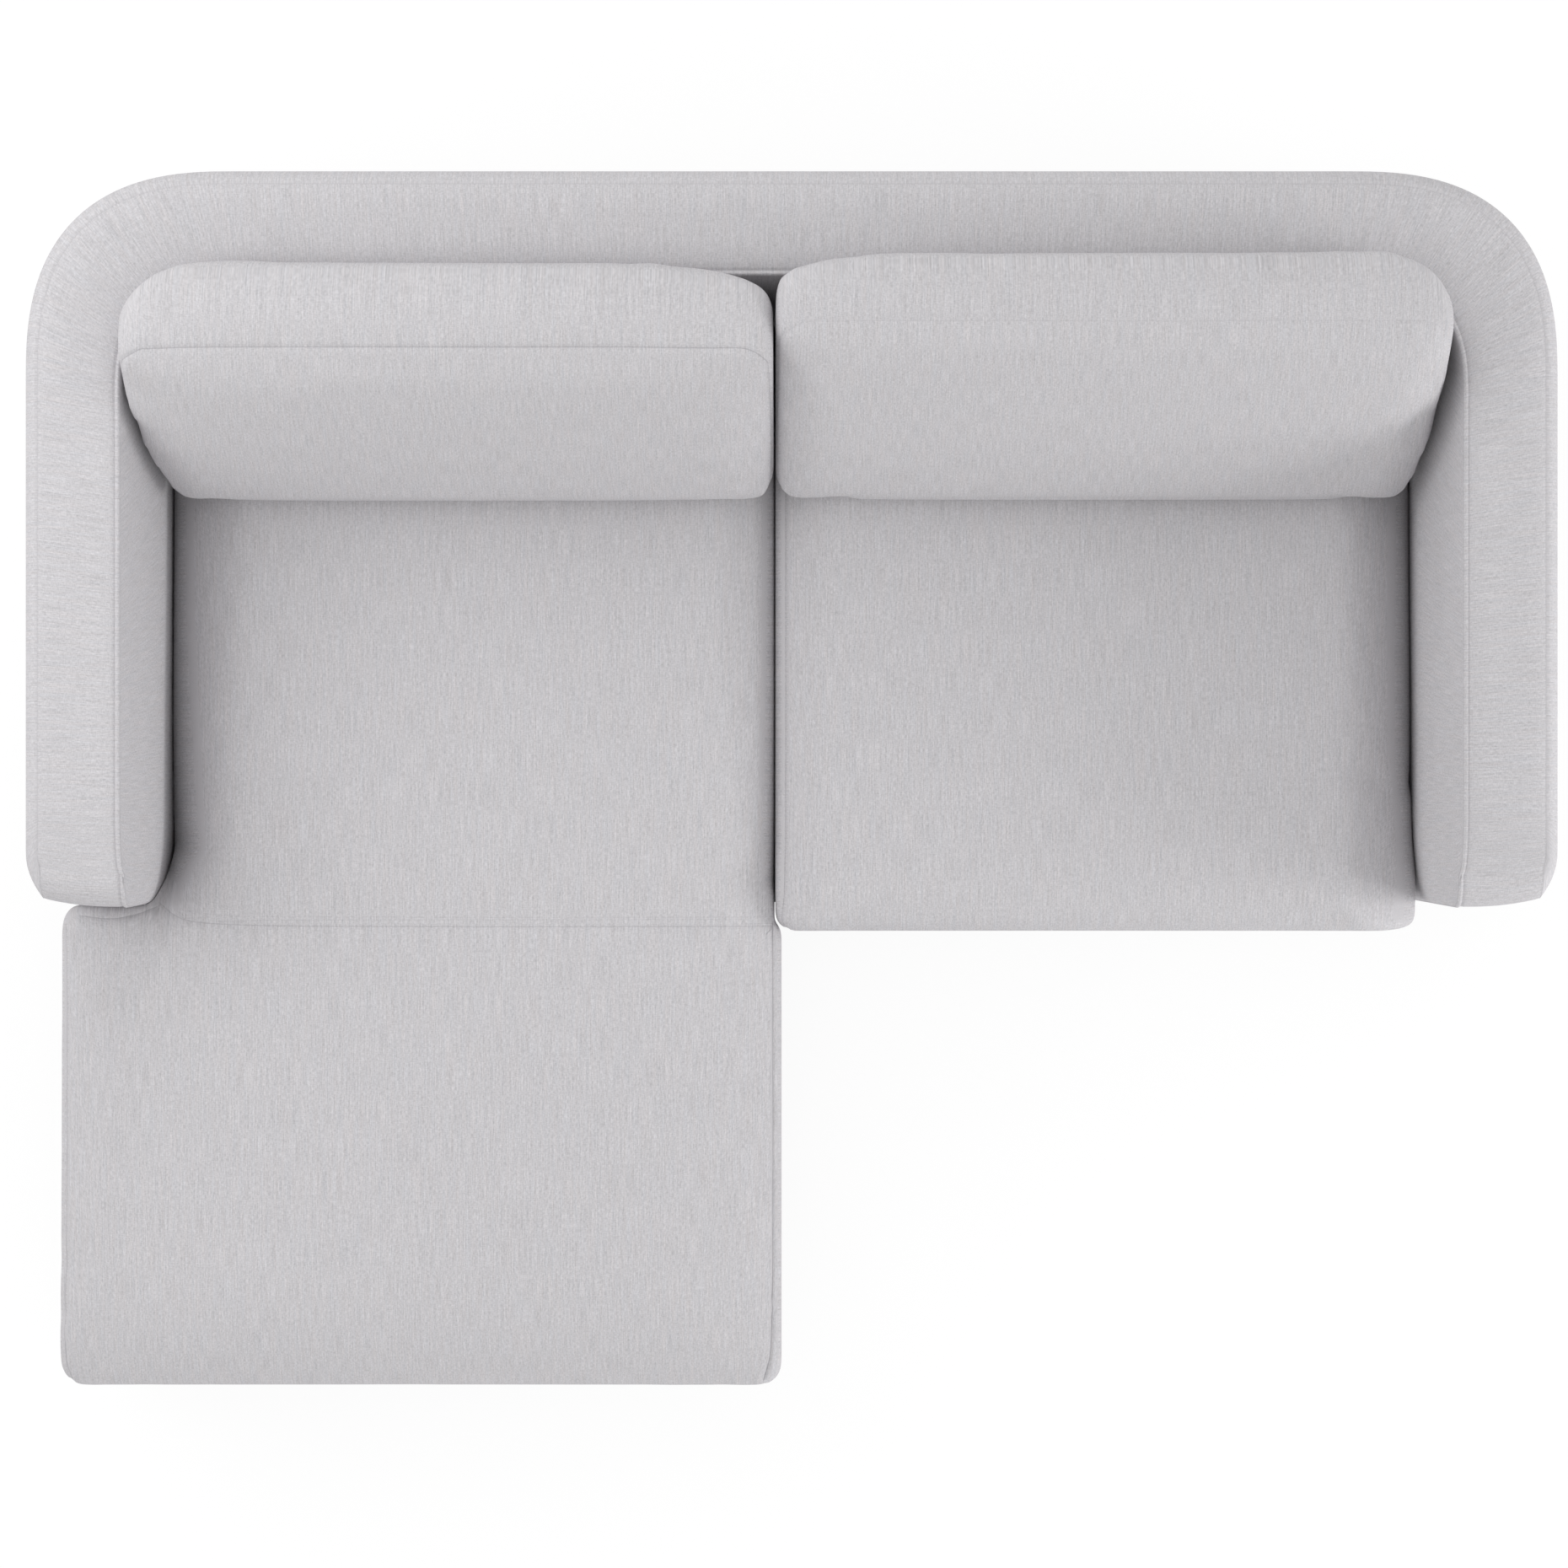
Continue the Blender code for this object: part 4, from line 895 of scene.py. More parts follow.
        # The offset to the nearest seam line, and the strength of that seam's painted shade.
        offset = min(from_inner, abs(from_inner - self.welt - self.stitch_gap))
        near = WELT_SHADE
        if from_outer < offset:
            offset = from_outer
            near = OUTER_SEAM_SHADE
        return Spot(place, run, from_outer, self.strip_lift(from_outer, from_inner), offset, near)

    def top_panel(self, cloth: PanelMesh, runs: list[float]) -> None:
        """Adds the strip over the arms and back."""
        outer = self.edge(Edge.OUTER, 0.0)
        inner = self.edge(Edge.INNER, 0.0)
        rows = len(self.shares(1.0)) - 1
        last = len(outer) - 1

        def place(column: int, row: int) -> Spot:
            """Gives the spot of a column and a row."""
            a, b = outer[column], inner[column]
            share = self.shares((a - b).length)[row]
            point = a.lerp(b, share)
            from_front = min(column, last - column)
            front_share = max(0.0, 1 - from_front / self.front_count)
            plain = self.outer_setback * (1 - share) + self.inner_setback * share
            y = point.y + (self.front_offset(share) - plain) * front_share
            rise = self.crown * (1 - (2 * share - 1) ** 4) * ease(from_front, 0, self.front_count)
            return self.strip_spot(a, b, row, Vector((point.x, y, self.top_z + rise)), runs[column])

        cloth.add(last, rows, place)

    def front_panels(self, cloth: PanelMesh, runs: list[float]) -> None:
        """Adds the ends of the strip, down the fronts of the two arms."""
        rows = len(self.shares(1.0)) - 1
        pairs = zip(self.depths, self.depths[1:])
        gaps = (math.hypot(b - a, self.front_at(b) - self.front_at(a)) for a, b in pairs)
        falls = list(accumulate(gaps, initial=0.0))
        for side in (-1, 1):

            def place(column: int, row: int, side: int = side) -> Spot:
                """Gives the spot of a column and a row."""
                depth = self.depths[column]
                front = self.front_at(depth)
                a = Vector((side * self.outer_seam_x, front + self.outer_setback))
                b = Vector((side * self.inner_seam_x, front + self.inner_setback))
                share = self.shares((a - b).length)[row]
                x = a.x + (b.x - a.x) * share
                point = Vector((x, front + self.front_offset(share), self.top_z - depth))
                run = -falls[column] if side < 0 else runs[-1] + falls[column]
                return self.strip_spot(a, b, row, point, run)

            cloth.add(len(self.depths) - 1, rows, place)

    def side_panel(self, cloth: PanelMesh, runs: list[float], edge: Edge) -> None:
        """Adds the upright panel outside or inside the strip."""
        levels = [self.edge(edge, depth) for depth in self.depths]
        last = len(levels[0]) - 1
        base = 1.0 if edge is Edge.OUTER else 2.0
        shade = OUTER_SEAM_SHADE if edge is Edge.OUTER else WELT_SHADE
        tall = self.depths[-1]

        def place(column: int, row: int) -> Spot:
            """Gives the spot of a column and a row."""
            depth = self.depths[row]
            spot = levels[row][column]
            from_front = min(runs[column], runs[-1] - runs[column])
            offset = min(depth + abs(self.shoulder - self.shoulder_at(depth)), from_front)
            # Painted shade along the panel's top seam and its seam at the arm's front, fading away from them.
            near = (1 - ease(offset, *self.seam_fade)) * shade
            full = self.panel_puff * math.sin(math.pi * depth / tall)
            puff = full * ease(from_front, 0.0, self.puff_start)
            point = Vector((*spot, self.top_z - depth))
            return Spot(point, runs[column], base + depth, puff, offset, near)

        cloth.add(last, len(self.depths) - 1, place)

    def build(self, finishes: Finishes) -> None:
        """Builds the cover and the lining that closes it below."""
        runs = self.runs()
        cloth = PanelMesh()
        self.top_panel(cloth, runs)
        self.front_panels(cloth, runs)
        self.side_panel(cloth, runs, Edge.OUTER)
        self.side_panel(cloth, runs, Edge.INNER)
        cover = cloth.sew("arms_and_back_cover")
        turn_to(cover, (0, 0, 1))
        give_wall(cover, COVER_WALL)
        nodes = ("wrap_cover", "left_arm_foam", "back_foam", "right_arm_foam")
        dress(cover, finishes.panel_cloth, "grey_weave", "frame", *nodes)
        self.add_lining(finishes, runs)
        log.info("arms and back: %d faces", len(cover.data.polygons))

    def add_lining(self, finishes: Finishes, runs: list[float]) -> None:
        """Adds the thin cloth that closes the wrap below."""
        depth = self.depths[-1]
        outer = self.edge(Edge.OUTER, depth)
        inner = self.edge(Edge.INNER, depth)
        cloth = PanelMesh()

        def place(column: int, row: int) -> Spot:
            """Gives the spot of a column and a row."""
            share = self.lining_inset + (1 - 2 * self.lining_inset) * row / self.lining_rows
            point = outer[column].lerp(inner[column], share)
            spot = Vector((*point, self.foot_z + self.lining_rise))
            return Spot(spot, runs[column], share * self.lining_width)

        cloth.add(len(outer) - 1, self.lining_rows, place)
        lining = cloth.sew("arms_and_back_lining")
        turn_to(lining, (0, 0, -1))
        give_wall(lining, THIN_WALL)
        dress(lining, finishes.lining, "lining_cloth", "frame")


# Cushions


@dataclass(frozen=True)
class Side:
    """One side of a seat cushion in plan, and how its top falls away there."""

    start: tuple[float, float]
    end: tuple[float, float]
    reach: float
    drop: float
    bulge: float = 0.0
    softness: float = 0.7
    taper: float = 0.12
    fall_power: float = 2.5
    push_reach: float = 0.06

    def nearest(self, x: float, y: float) -> tuple[float, float]:
        """Gives the share along the side nearest a place, and the gap to it."""
        ax, ay = self.start
        bx, by = self.end
        length = (bx - ax) ** 2 + (by - ay) ** 2
        share = min(1.0, max(0.0, ((x - ax) * (bx - ax) + (y - ay) * (by - ay)) / length))
        return share, math.hypot(x - ax - share * (bx - ax), y - ay - share * (by - ay))

    def fall(self, x: float, y: float) -> float:
        """Says how far the top has fallen at a place."""
        _, gap = self.nearest(x, y)
        return self.drop * max(0.0, 1 - gap / self.reach) ** self.fall_power

    def push(self, x: float, y: float, level: float) -> Vector:
        """Says how the side bulges outward at a place and a level from 0 to 1."""
        share, gap = self.nearest(x, y)
        way = Vector(self.end) - Vector(self.start)
        outward = Vector((way.y, -way.x)).normalized()
        along = (4 * share * (1 - share)) ** self.taper
        upright = max(0.0, math.sin(math.pi * min(1.0, max(0.0, level)))) ** self.softness
        return outward * (self.bulge * along * upright * (1 - ease(gap, 0.0, self.push_reach)))


@dataclass(frozen=True)
class SeamLine:
    """A seam by the points that it passes, its depth, how much the cloth puffs beside it, and how dark its
    painted shade is.
    """

    points: tuple[Vector, ...]
    depth: float = 0.0016
    puff: float = 0.0006
    width: float = 0.0030
    shade: float = 0.8
    from_above: bool = False


class Padding:
    """Blows up, trims and sews the mesh of a cushion."""

    frames = 12
    push_reach = 0.030
    puff_reach = 0.010
    map_fade = (0.008, 0.014)
    puff_fade = 0.020
    end_fade = (0.002, 0.008)
    seam_spacing = 0.002

    def __init__(self, piece: bpy.types.Object, voxel: float) -> None:
        """Gives the piece an even mesh.

        Args:
            piece: The closed form to start from.
            voxel: The size of the even mesh's faces.
        """
        self.piece = piece
        even = piece.modifiers.new("even mesh", "REMESH")
        even.mode = "VOXEL"
        even.voxel_size = voxel
        settle(piece)

    def places(self) -> list[Vector]:
        """Lists where the vertices are."""
        return [vert.co.copy() for vert in self.piece.data.vertices]

    def move_to(self, places: Sequence[Vector]) -> None:
        """Puts the vertices at new places."""
        self.piece.data.vertices.foreach_set("co", [part for place in places for part in place])
        self.piece.data.update()

    def shape(self, rule: Callable[[Vector], Vector]) -> None:
        """Moves each vertex by a rule."""
        self.move_to([rule(place) for place in self.places()])

    def inflate(self, pressure: float, cap: float) -> None:
        """Lets air pressure swell the cloth, up to a largest move.

        Args:
            pressure: The pressure on the cloth.
            cap: The longest way that a point may move.
        """
        start = self.places()
        cloth = self.piece.modifiers.new("cloth", "CLOTH")
        settings = cloth.settings
        settings.quality = 3
        settings.mass = 0.3
        settings.tension_stiffness = 12
        settings.compression_stiffness = 12
        settings.shear_stiffness = 5
        settings.bending_stiffness = 0.8
        settings.use_pressure = True
        settings.uniform_pressure_force = pressure
        settings.effector_weights.gravity = 0
        cloth.collision_settings.use_collision = False
        cloth.point_cache.frame_start = 1
        cloth.point_cache.frame_end = self.frames
        scene = bpy.context.scene
        for number in range(1, self.frames + 1):
            scene.frame_set(number)
        settle(self.piece)
        scene.frame_set(1)
        capped = []
        for before, after in zip(start, self.places()):
            move = after - before
            if move.length > 1e-9:
                move *= cap * math.tanh(move.length / cap) / move.length
            capped.append(before + move)
        self.move_to(capped)

    def swell(self, distance: float) -> None:
        """Moves every point outward along its normal."""
        mesh = self.piece.data
        pairs = zip(mesh.vertices, mesh.vertex_normals)
        self.move_to([vert.co + normal.vector * distance for vert, normal in pairs])

    def relax(self, turns: int) -> None:
        """Evens out the surface."""
        bm = bmesh.new()
        bm.from_mesh(self.piece.data)
        for _ in range(turns):
            bmesh.ops.smooth_vert(
                bm, verts=bm.verts, factor=0.5, use_axis_x=True, use_axis_y=True, use_axis_z=True
            )
        bm.to_mesh(self.piece.data)
        bm.free()

    def refine(self) -> None:
        """Divides every face once."""
        finer = self.piece.modifiers.new("finer", "SUBSURF")
        finer.levels = 1
        finer.render_levels = 1
        settle(self.piece)
        self.piece.data.shade_smooth()

    @staticmethod
    def on_surface(surface: BVHTree, point: Vector, seam: SeamLine) -> Vector:
        """Finds the place on the surface under a point of a seam, or else the nearest."""
        hit = surface.ray_cast(point + Vector((0.0, 0.0, 0.1)), Vector((0.0, 0.0, -1.0)))[0]
        return hit if seam.from_above and hit else surface.find_nearest(point)[0]

    def sew(self, seams: Sequence[SeamLine]) -> None:
        """Draws seams on the surface, as relief and as a map of painted seam shade for the finish."""
        mesh = self.piece.data
        bm = bmesh.new()
        bm.from_mesh(mesh)
        bm.normal_update()
        surface = BVHTree.FromBMesh(bm)
        spacing = self.seam_spacing
        samples = []
        for seam in seams:
            path = [self.on_surface(surface, point, seam) for point in smooth_path(seam.points, spacing)]
            ways = [(after - before).normalized() for before, after in zip(path, path[1:])]
            ways.append(ways[-1])
            for index, (point, way) in enumerate(zip(path, ways)):
                samples.append((point, way, index in (0, len(path) - 1), seam))
        tree = KDTree(len(samples))
        for index, sample in enumerate(samples):
            tree.insert(sample[0], index)
        tree.balance()
        layer = bm.verts.layers.float_vector.new("seam")
        moves = []
        for vert in bm.verts:
            _, index, gap = tree.find(vert.co)
            point, way, last, seam = samples[index]
            if gap > self.push_reach:
                vert[layer] = Vector((1.0, 0.0, 0.0))
                moves.append(None)
                continue
            away = vert.co - point
            side = vert.normal.cross(way).normalized()
            offset = away.dot(side)
            fade = 1 - ease(abs(away.dot(way)), *self.end_fade) if last else 1.0
            near = (1 - ease(gap, *self.map_fade)) * fade
            # The seam map holds the offset from the seam and the strength of its painted shade.
            vert[layer] = Vector((offset, near * seam.shade, 0.0))
            swell = (offset / self.puff_reach) ** 2
            groove = seam.depth * math.exp(-((offset / seam.width) ** 2))
            lift = seam.puff * swell * math.exp(1 - swell) - groove
            rest = 1 - ease(gap, self.puff_fade, self.push_reach)
            moves.append(vert.normal * lift * fade * rest)
        for vert, move in zip(bm.verts, moves):
            if move is not None:
                vert.co += move
        bm.to_mesh(mesh)
        bm.free()


@dataclass(kw_only=True)
class Cushion(ABC):
    """A loose cushion on a body of its own name: a form, blown up, trimmed and sewn."""

    name: str
    nodes: tuple[str, ...]
    fill: float
    voxel: float
    first_turns: int
    middle_turns: int
    last_turns: int
    pressure: float = 4.0
    cap: float = 0.010
    fullness: float = 0.007

    @abstractmethod
    def form(self) -> bpy.types.Object:
        """Builds the closed form that the cushion starts from."""

    def fallen(self, place: Vector) -> Vector:
        """Moves a point of the form before the cushion is blown up."""
        return place

    @abstractmethod
    def limit(self, place: Vector) -> Vector:
        """Keeps a point clear of the cushion's neighbours."""

    @abstractmethod
    def seams(self) -> list[SeamLine]:
        """Lists the cushion's seams."""

    def build(self, finishes: Finishes) -> bpy.types.Object:
        """Builds, blows up, trims and sews the cushion."""
        piece = self.form()
        padding = Padding(piece, self.voxel)
        padding.shape(self.fallen)
        padding.relax(self.first_turns)
        padding.inflate(self.pressure, self.cap)
        padding.swell(self.fullness)
        padding.shape(self.limit)
        padding.relax(self.middle_turns)
        padding.refine()
        padding.shape(self.limit)
        padding.relax(self.last_turns)
        padding.sew(self.seams())
        dress(piece, finishes.cushion_cloth, "grey_weave", self.name, *self.nodes)
        log.info("%s: %d faces", self.name, len(piece.data.polygons))
        return piece


@dataclass(kw_only=True)
class SeatCushion(Cushion):
    """A boxed cushion with a crowned top, shaped in plan by its outline."""

    outline: list[tuple[float, float]]
    radii: list[float]
    bottom_z: float
    top_z: float
    sides: list[Side]
    bound: Callable[[Vector], Vector]
    seam_lines: list[SeamLine]
    fill: float = 0.9
    voxel: float = 0.009
    first_turns: int = 4
    middle_turns: int = 2
    last_turns: int = 2
    inset: float = 0.006
    top_inset: float = 0.018
    rim: float = 0.007

    def form(self) -> bpy.types.Object:
        """Builds the box with rounded corners that the cushion starts from."""
        bm = bmesh.new()
        low = self.bottom_z + self.inset
        high = self.top_z - self.top_inset
        base = bm.faces.new([bm.verts.new((x, y, low)) for x, y in self.outline])
        made = bmesh.ops.extrude_face_region(bm, geom=[base], use_keep_orig=True)
        raised = [item for item in made["geom"] if isinstance(item, bmesh.types.BMVert)]
        bmesh.ops.translate(bm, verts=raised, vec=(0.0, 0.0, high - low))
        bmesh.ops.recalc_face_normals(bm, faces=bm.faces)
        for (x, y), radius in zip(self.outline, self.radii):
            for edge in bm.edges:
                gap = (edge.verts[0].co.xy - Vector((x, y))).length
                if height_of(edge) > self.rim and gap < CLEAR:
                    bevel(bm, [edge], radius, 6)
                    break
        bevel(bm, [edge for edge in bm.edges if height_of(edge) < CLEAR], self.rim, 3)
        return add_piece(self.name, bm)

    def fallen(self, place: Vector) -> Vector:
        """Lowers the top towards the cushion's sides."""
        fall = sum(side.fall(place.x, place.y) ** 3 for side in self.sides) ** (1 / 3)
        tall = self.top_z - self.bottom_z
        share = (place.z - self.bottom_z) / tall
        moved = Vector((place.x, place.y, self.bottom_z + share * (tall - fall)))
        for side in self.sides:
            push = side.push(place.x, place.y, share)
            moved += Vector((push.x, push.y, 0.0))
        return moved

    def limit(self, place: Vector) -> Vector:
        """Keeps a point clear of the cushion's neighbours."""
        return self.bound(place)

    def seams(self) -> list[SeamLine]:
        """Lists the cushion's seams."""
        return self.seam_lines


@dataclass(kw_only=True)
class BackCushion(Cushion):
    """A plump cushion that stands on a seat, leans on the back and rounds off at its ends."""

    left: float
    right: float
    foot_z: float
    wrap: Wrap
    left_flare: float
    right_flare: float
    left_limit: float
    right_limit: float
    fill: float = 0.85
    voxel: float = 0.0085
    first_turns: int = 5
    middle_turns: int = 4
    last_turns: int = 6
    clearance: float = 0.0015
    open_rate: float = 6.0
    seam_inset: float = 0.06
    seam_turn: float = 0.034
    seam_end: float = 0.004
    set_back: float = 0.0
    seam_depth: float = 0.0013
    seam_shade: float = 0.8
    rise: float = 0.350
    foot: float = 0.2435
    lean: float = 0.180
    ease_back: float = 0.012
    corner_ease: float = 0.006
    puff: float = 0.013
    crown: float = 0.010
    overhang: float = 0.016
    top_drop: float = 0.030
    round: float = 0.050
    foot_round: float = 0.020
    lean_out: float = 0.30
    stations: int = 40
    arm_round: tuple[float, float, float] = (0.140, 0.86, 2.5)
    divide_round: tuple[float, float, float] = (0.200, 0.34, 1.6)
    front_round: tuple[float, float, float] = (0.030, 0.009, 2.2)
    flare_power: float = 2.5
    top_round: tuple[float, float, float] = (0.045, 0.070, 2.2)

    @staticmethod
    def corner(before: Vector, corner: Vector, after: Vector, radius: float) -> list[Vector]:
        """Lists points of a rounded corner."""
        start = corner + (before - corner).normalized() * radius
        end = corner + (after - corner).normalized() * radius
        shares = steps(0.0, 1.0, 8)
        return [start.lerp(corner, share).lerp(corner.lerp(end, share), share) for share in shares]

    def marks(self) -> dict[str, Vector]:
        """Gives the corners of the side view as (y, z)."""
        rear_y = self.wrap.seat_back_y - self.ease_back
        front_y = rear_y - self.foot
        top_z = self.foot_z + self.rise
        edge_y = self.wrap.seat_back_y + self.wrap.slope
        return {
            "front_foot": Vector((front_y, self.foot_z)),
            "front_top": Vector((front_y + self.lean + self.set_back, top_z)),
            "back_top": Vector((edge_y + self.overhang + self.set_back / 2, top_z - self.top_drop)),
            "rest": Vector((edge_y - self.ease_back, self.wrap.top_z + self.wrap.crown)),
            "back_foot": Vector((rear_y, self.foot_z)),
        }

    def profile(self) -> list[Vector]:
        """Lists the points of the side view."""
        marks = self.marks()
        foot, top, rear = marks["front_foot"], marks["front_top"], marks["back_top"]
        points = self.corner(marks["back_foot"], foot, top, self.foot_round)
        start = points[-1]
        end = top.lerp(foot, self.round / (top - foot).length)
        way = Vector((-(top - foot).y, (top - foot).x)).normalized()
        for share in steps(0.0, 1.0, 12)[1:-1]:
            points.append(start.lerp(end, share) + way * self.puff * 4 * share * (1 - share))
        points += self.corner(foot, top, rear, self.round)
        points += self.corner(top, rear, marks["rest"], self.round / 2)
        points += [rear.lerp(marks["rest"], share) for share in (0.6, 0.8, 1.0)]
        under = self.corner(marks["rest"], marks["back_foot"], foot, self.round / 2)
        points += [marks["rest"].lerp(under[0], share) for share in steps(0.0, 1.0, 8)[1:-1]]
        points += under
        gap = under[-1].lerp(points[0], 0.5)
        return [*points, gap]

    def centre(self) -> Vector:
        """Gives the middle of the side view."""
        profile = self.profile()
        return sum(profile, Vector((0, 0))) / len(profile)

    def wrap_limit(self, x: float, z: float) -> float:
        """Says how far back the cushion may reach in front of the wrap."""
        depth = self.wrap.top_z - z
        slope = self.wrap.slope_at(depth)
        reach = self.wrap.inner_corner_at(depth)
        past = abs(x) - (self.wrap.seat_half + slope - reach)
        limit = self.wrap.seat_back_y + slope - reach
        if past <= 0:
            return limit + reach
        share = min(1.0, past / reach)
        power = self.wrap.corner_power
        return limit + reach * (1 - share**power) ** (1 / power)

    def ends(self, x: float) -> tuple[float, float, float]:
        """Gives how the section thins towards the cushion's ends.

        Args:
            x: The place along the cushion.

        Returns:
            The share left behind the top seam, the share of the height, and the way the front
            draws back.
        """
        behind = 1.0
        tall = 1.0
        front = 0.0
        at_left = self.arm_round if self.left_flare else self.divide_round
        at_right = self.arm_round if self.right_flare else self.divide_round
        for gap, round_off in ((x - self.left, at_left), (self.right - x, at_right)):
            behind -= self.rounded(gap, *round_off)
            tall -= self.rounded(gap, *self.top_round)
            front += self.rounded(gap, *self.front_round)
        return behind, tall, front

    @staticmethod
    def rounded(gap: float, reach: float, drop: float, power: float) -> float:
        """Gives a rounding off that falls from its whole drop at no gap to 0 at its reach."""
        rest = 1 - min(1.0, max(0.0, gap / reach))
        return drop * (1 - (1 - rest**power) ** (1 / power))

    def place(self, x: float, point: Vector, centre: Vector) -> Vector:
        """Puts a point of the side view at a station along the cushion."""
        middle = (self.left + self.right) / 2
        across = (x - middle) / ((self.right - self.left) / 2)
        flare = self.left_flare if across < 0 else self.right_flare
        behind, tall, front = self.ends(x)
        seam_y = self.marks()["front_top"].x
        near = Vector((point.x, self.foot_z + (point.y - self.foot_z) * tall))
        if near.x > seam_y:
            near.x = seam_y + (near.x - seam_y) * behind
        front_share = max(0.0, centre.x - point.x) / (centre.x - self.marks()["front_foot"].x)
        y = near.x - self.crown * front_share * (1 - across**4) + front * front_share
        lift = (near.y - self.foot_z) / self.rise - 1.0
        new_x = x - flare * abs(lift) ** self.flare_power * across * abs(across)
        over = max(0.0, near.y - self.wrap.top_z)
        limit = self.wrap_limit(new_x, near.y) - self.corner_ease
        return Vector((new_x, min(y, limit + over * self.lean_out), near.y))

    def stations_along(self) -> list[float]:
        """Lists the places along the cushion, close together at the ends."""
        reach = self.arm_round[0]
        near = [self.left + reach * (1 - math.cos(angle)) for angle in steps(0.0, math.pi / 2, 16)]
        far = [self.left + self.right - x for x in near[::-1]]
        return near + steps(near[-1], far[0], self.stations)[1:-1] + far

    def form(self) -> bpy.types.Object:
        """Builds the closed form that the cushion starts from."""
        profile = self.profile()
        centre = self.centre()
        spread = self.stations_along()
        count = len(profile)
        bm = bmesh.new()
        made = bmesh.ops.create_grid(bm, x_segments=len(spread) - 1, y_segments=count, size=0.5)
        for vert in made["verts"]:
            column = round((vert.co.x + 0.5) * (len(spread) - 1))
            row = round((vert.co.y + 0.5) * count) % count
            vert.co = self.place(spread[column], profile[row], centre)
        bmesh.ops.remove_doubles(bm, verts=bm.verts, dist=0.00005)
        rims = [edge for edge in bm.edges if edge.is_boundary]
        bmesh.ops.holes_fill(bm, edges=rims, sides=0)
        return add_piece(self.name, bm)

    def limit(self, place: Vector) -> Vector:
        """Keeps a point clear of the seat, the wrap and the other cushion."""
        z = max(self.foot_z + CLEAR, place.z)
        over = max(0.0, z - self.wrap.top_z - self.wrap.crown)
        room = over * self.open_rate - self.clearance
        wall = self.wrap.seat_half + self.wrap.slope_at(self.wrap.top_z - z) + room
        x = min(self.right_limit, wall, max(self.left_limit, -wall, place.x))
        y = min(place.y, self.wrap_limit(x, z) + room)
        return Vector((x, y, z))

    def seams(self) -> list[SeamLine]:
        """Gives the seam round the front panel."""
        centre = self.centre()
        marks = self.marks()
        top = marks["front_top"].lerp(marks["back_top"], self.seam_inset)
        foot = marks["front_foot"].lerp(marks["back_foot"], self.seam_inset)
        turn = self.seam_turn
        bend = turn - self.seam_end
        upper = [self.place(x, top, centre) for x in steps(self.left + turn, self.right - turn, 14)]
        lower = [self.place(x, foot, centre) for x in steps(self.right - turn, self.left + turn, 14)]
        right = []
        left = []
        for share in steps(0.0, 1.0, 16)[1:-1]:
            point = top.lerp(foot, share)
            inset = self.seam_end + bend * (1 - 4 * share * (1 - share)) ** 6
            right.append(self.place(self.right - inset, point, centre))
            left.append(self.place(self.left + inset, point, centre))
        loop = upper + right + lower + left[::-1] + upper[:1]
        return [SeamLine(tuple(loop), depth=self.seam_depth, puff=0.0005, shade=self.seam_shade)]


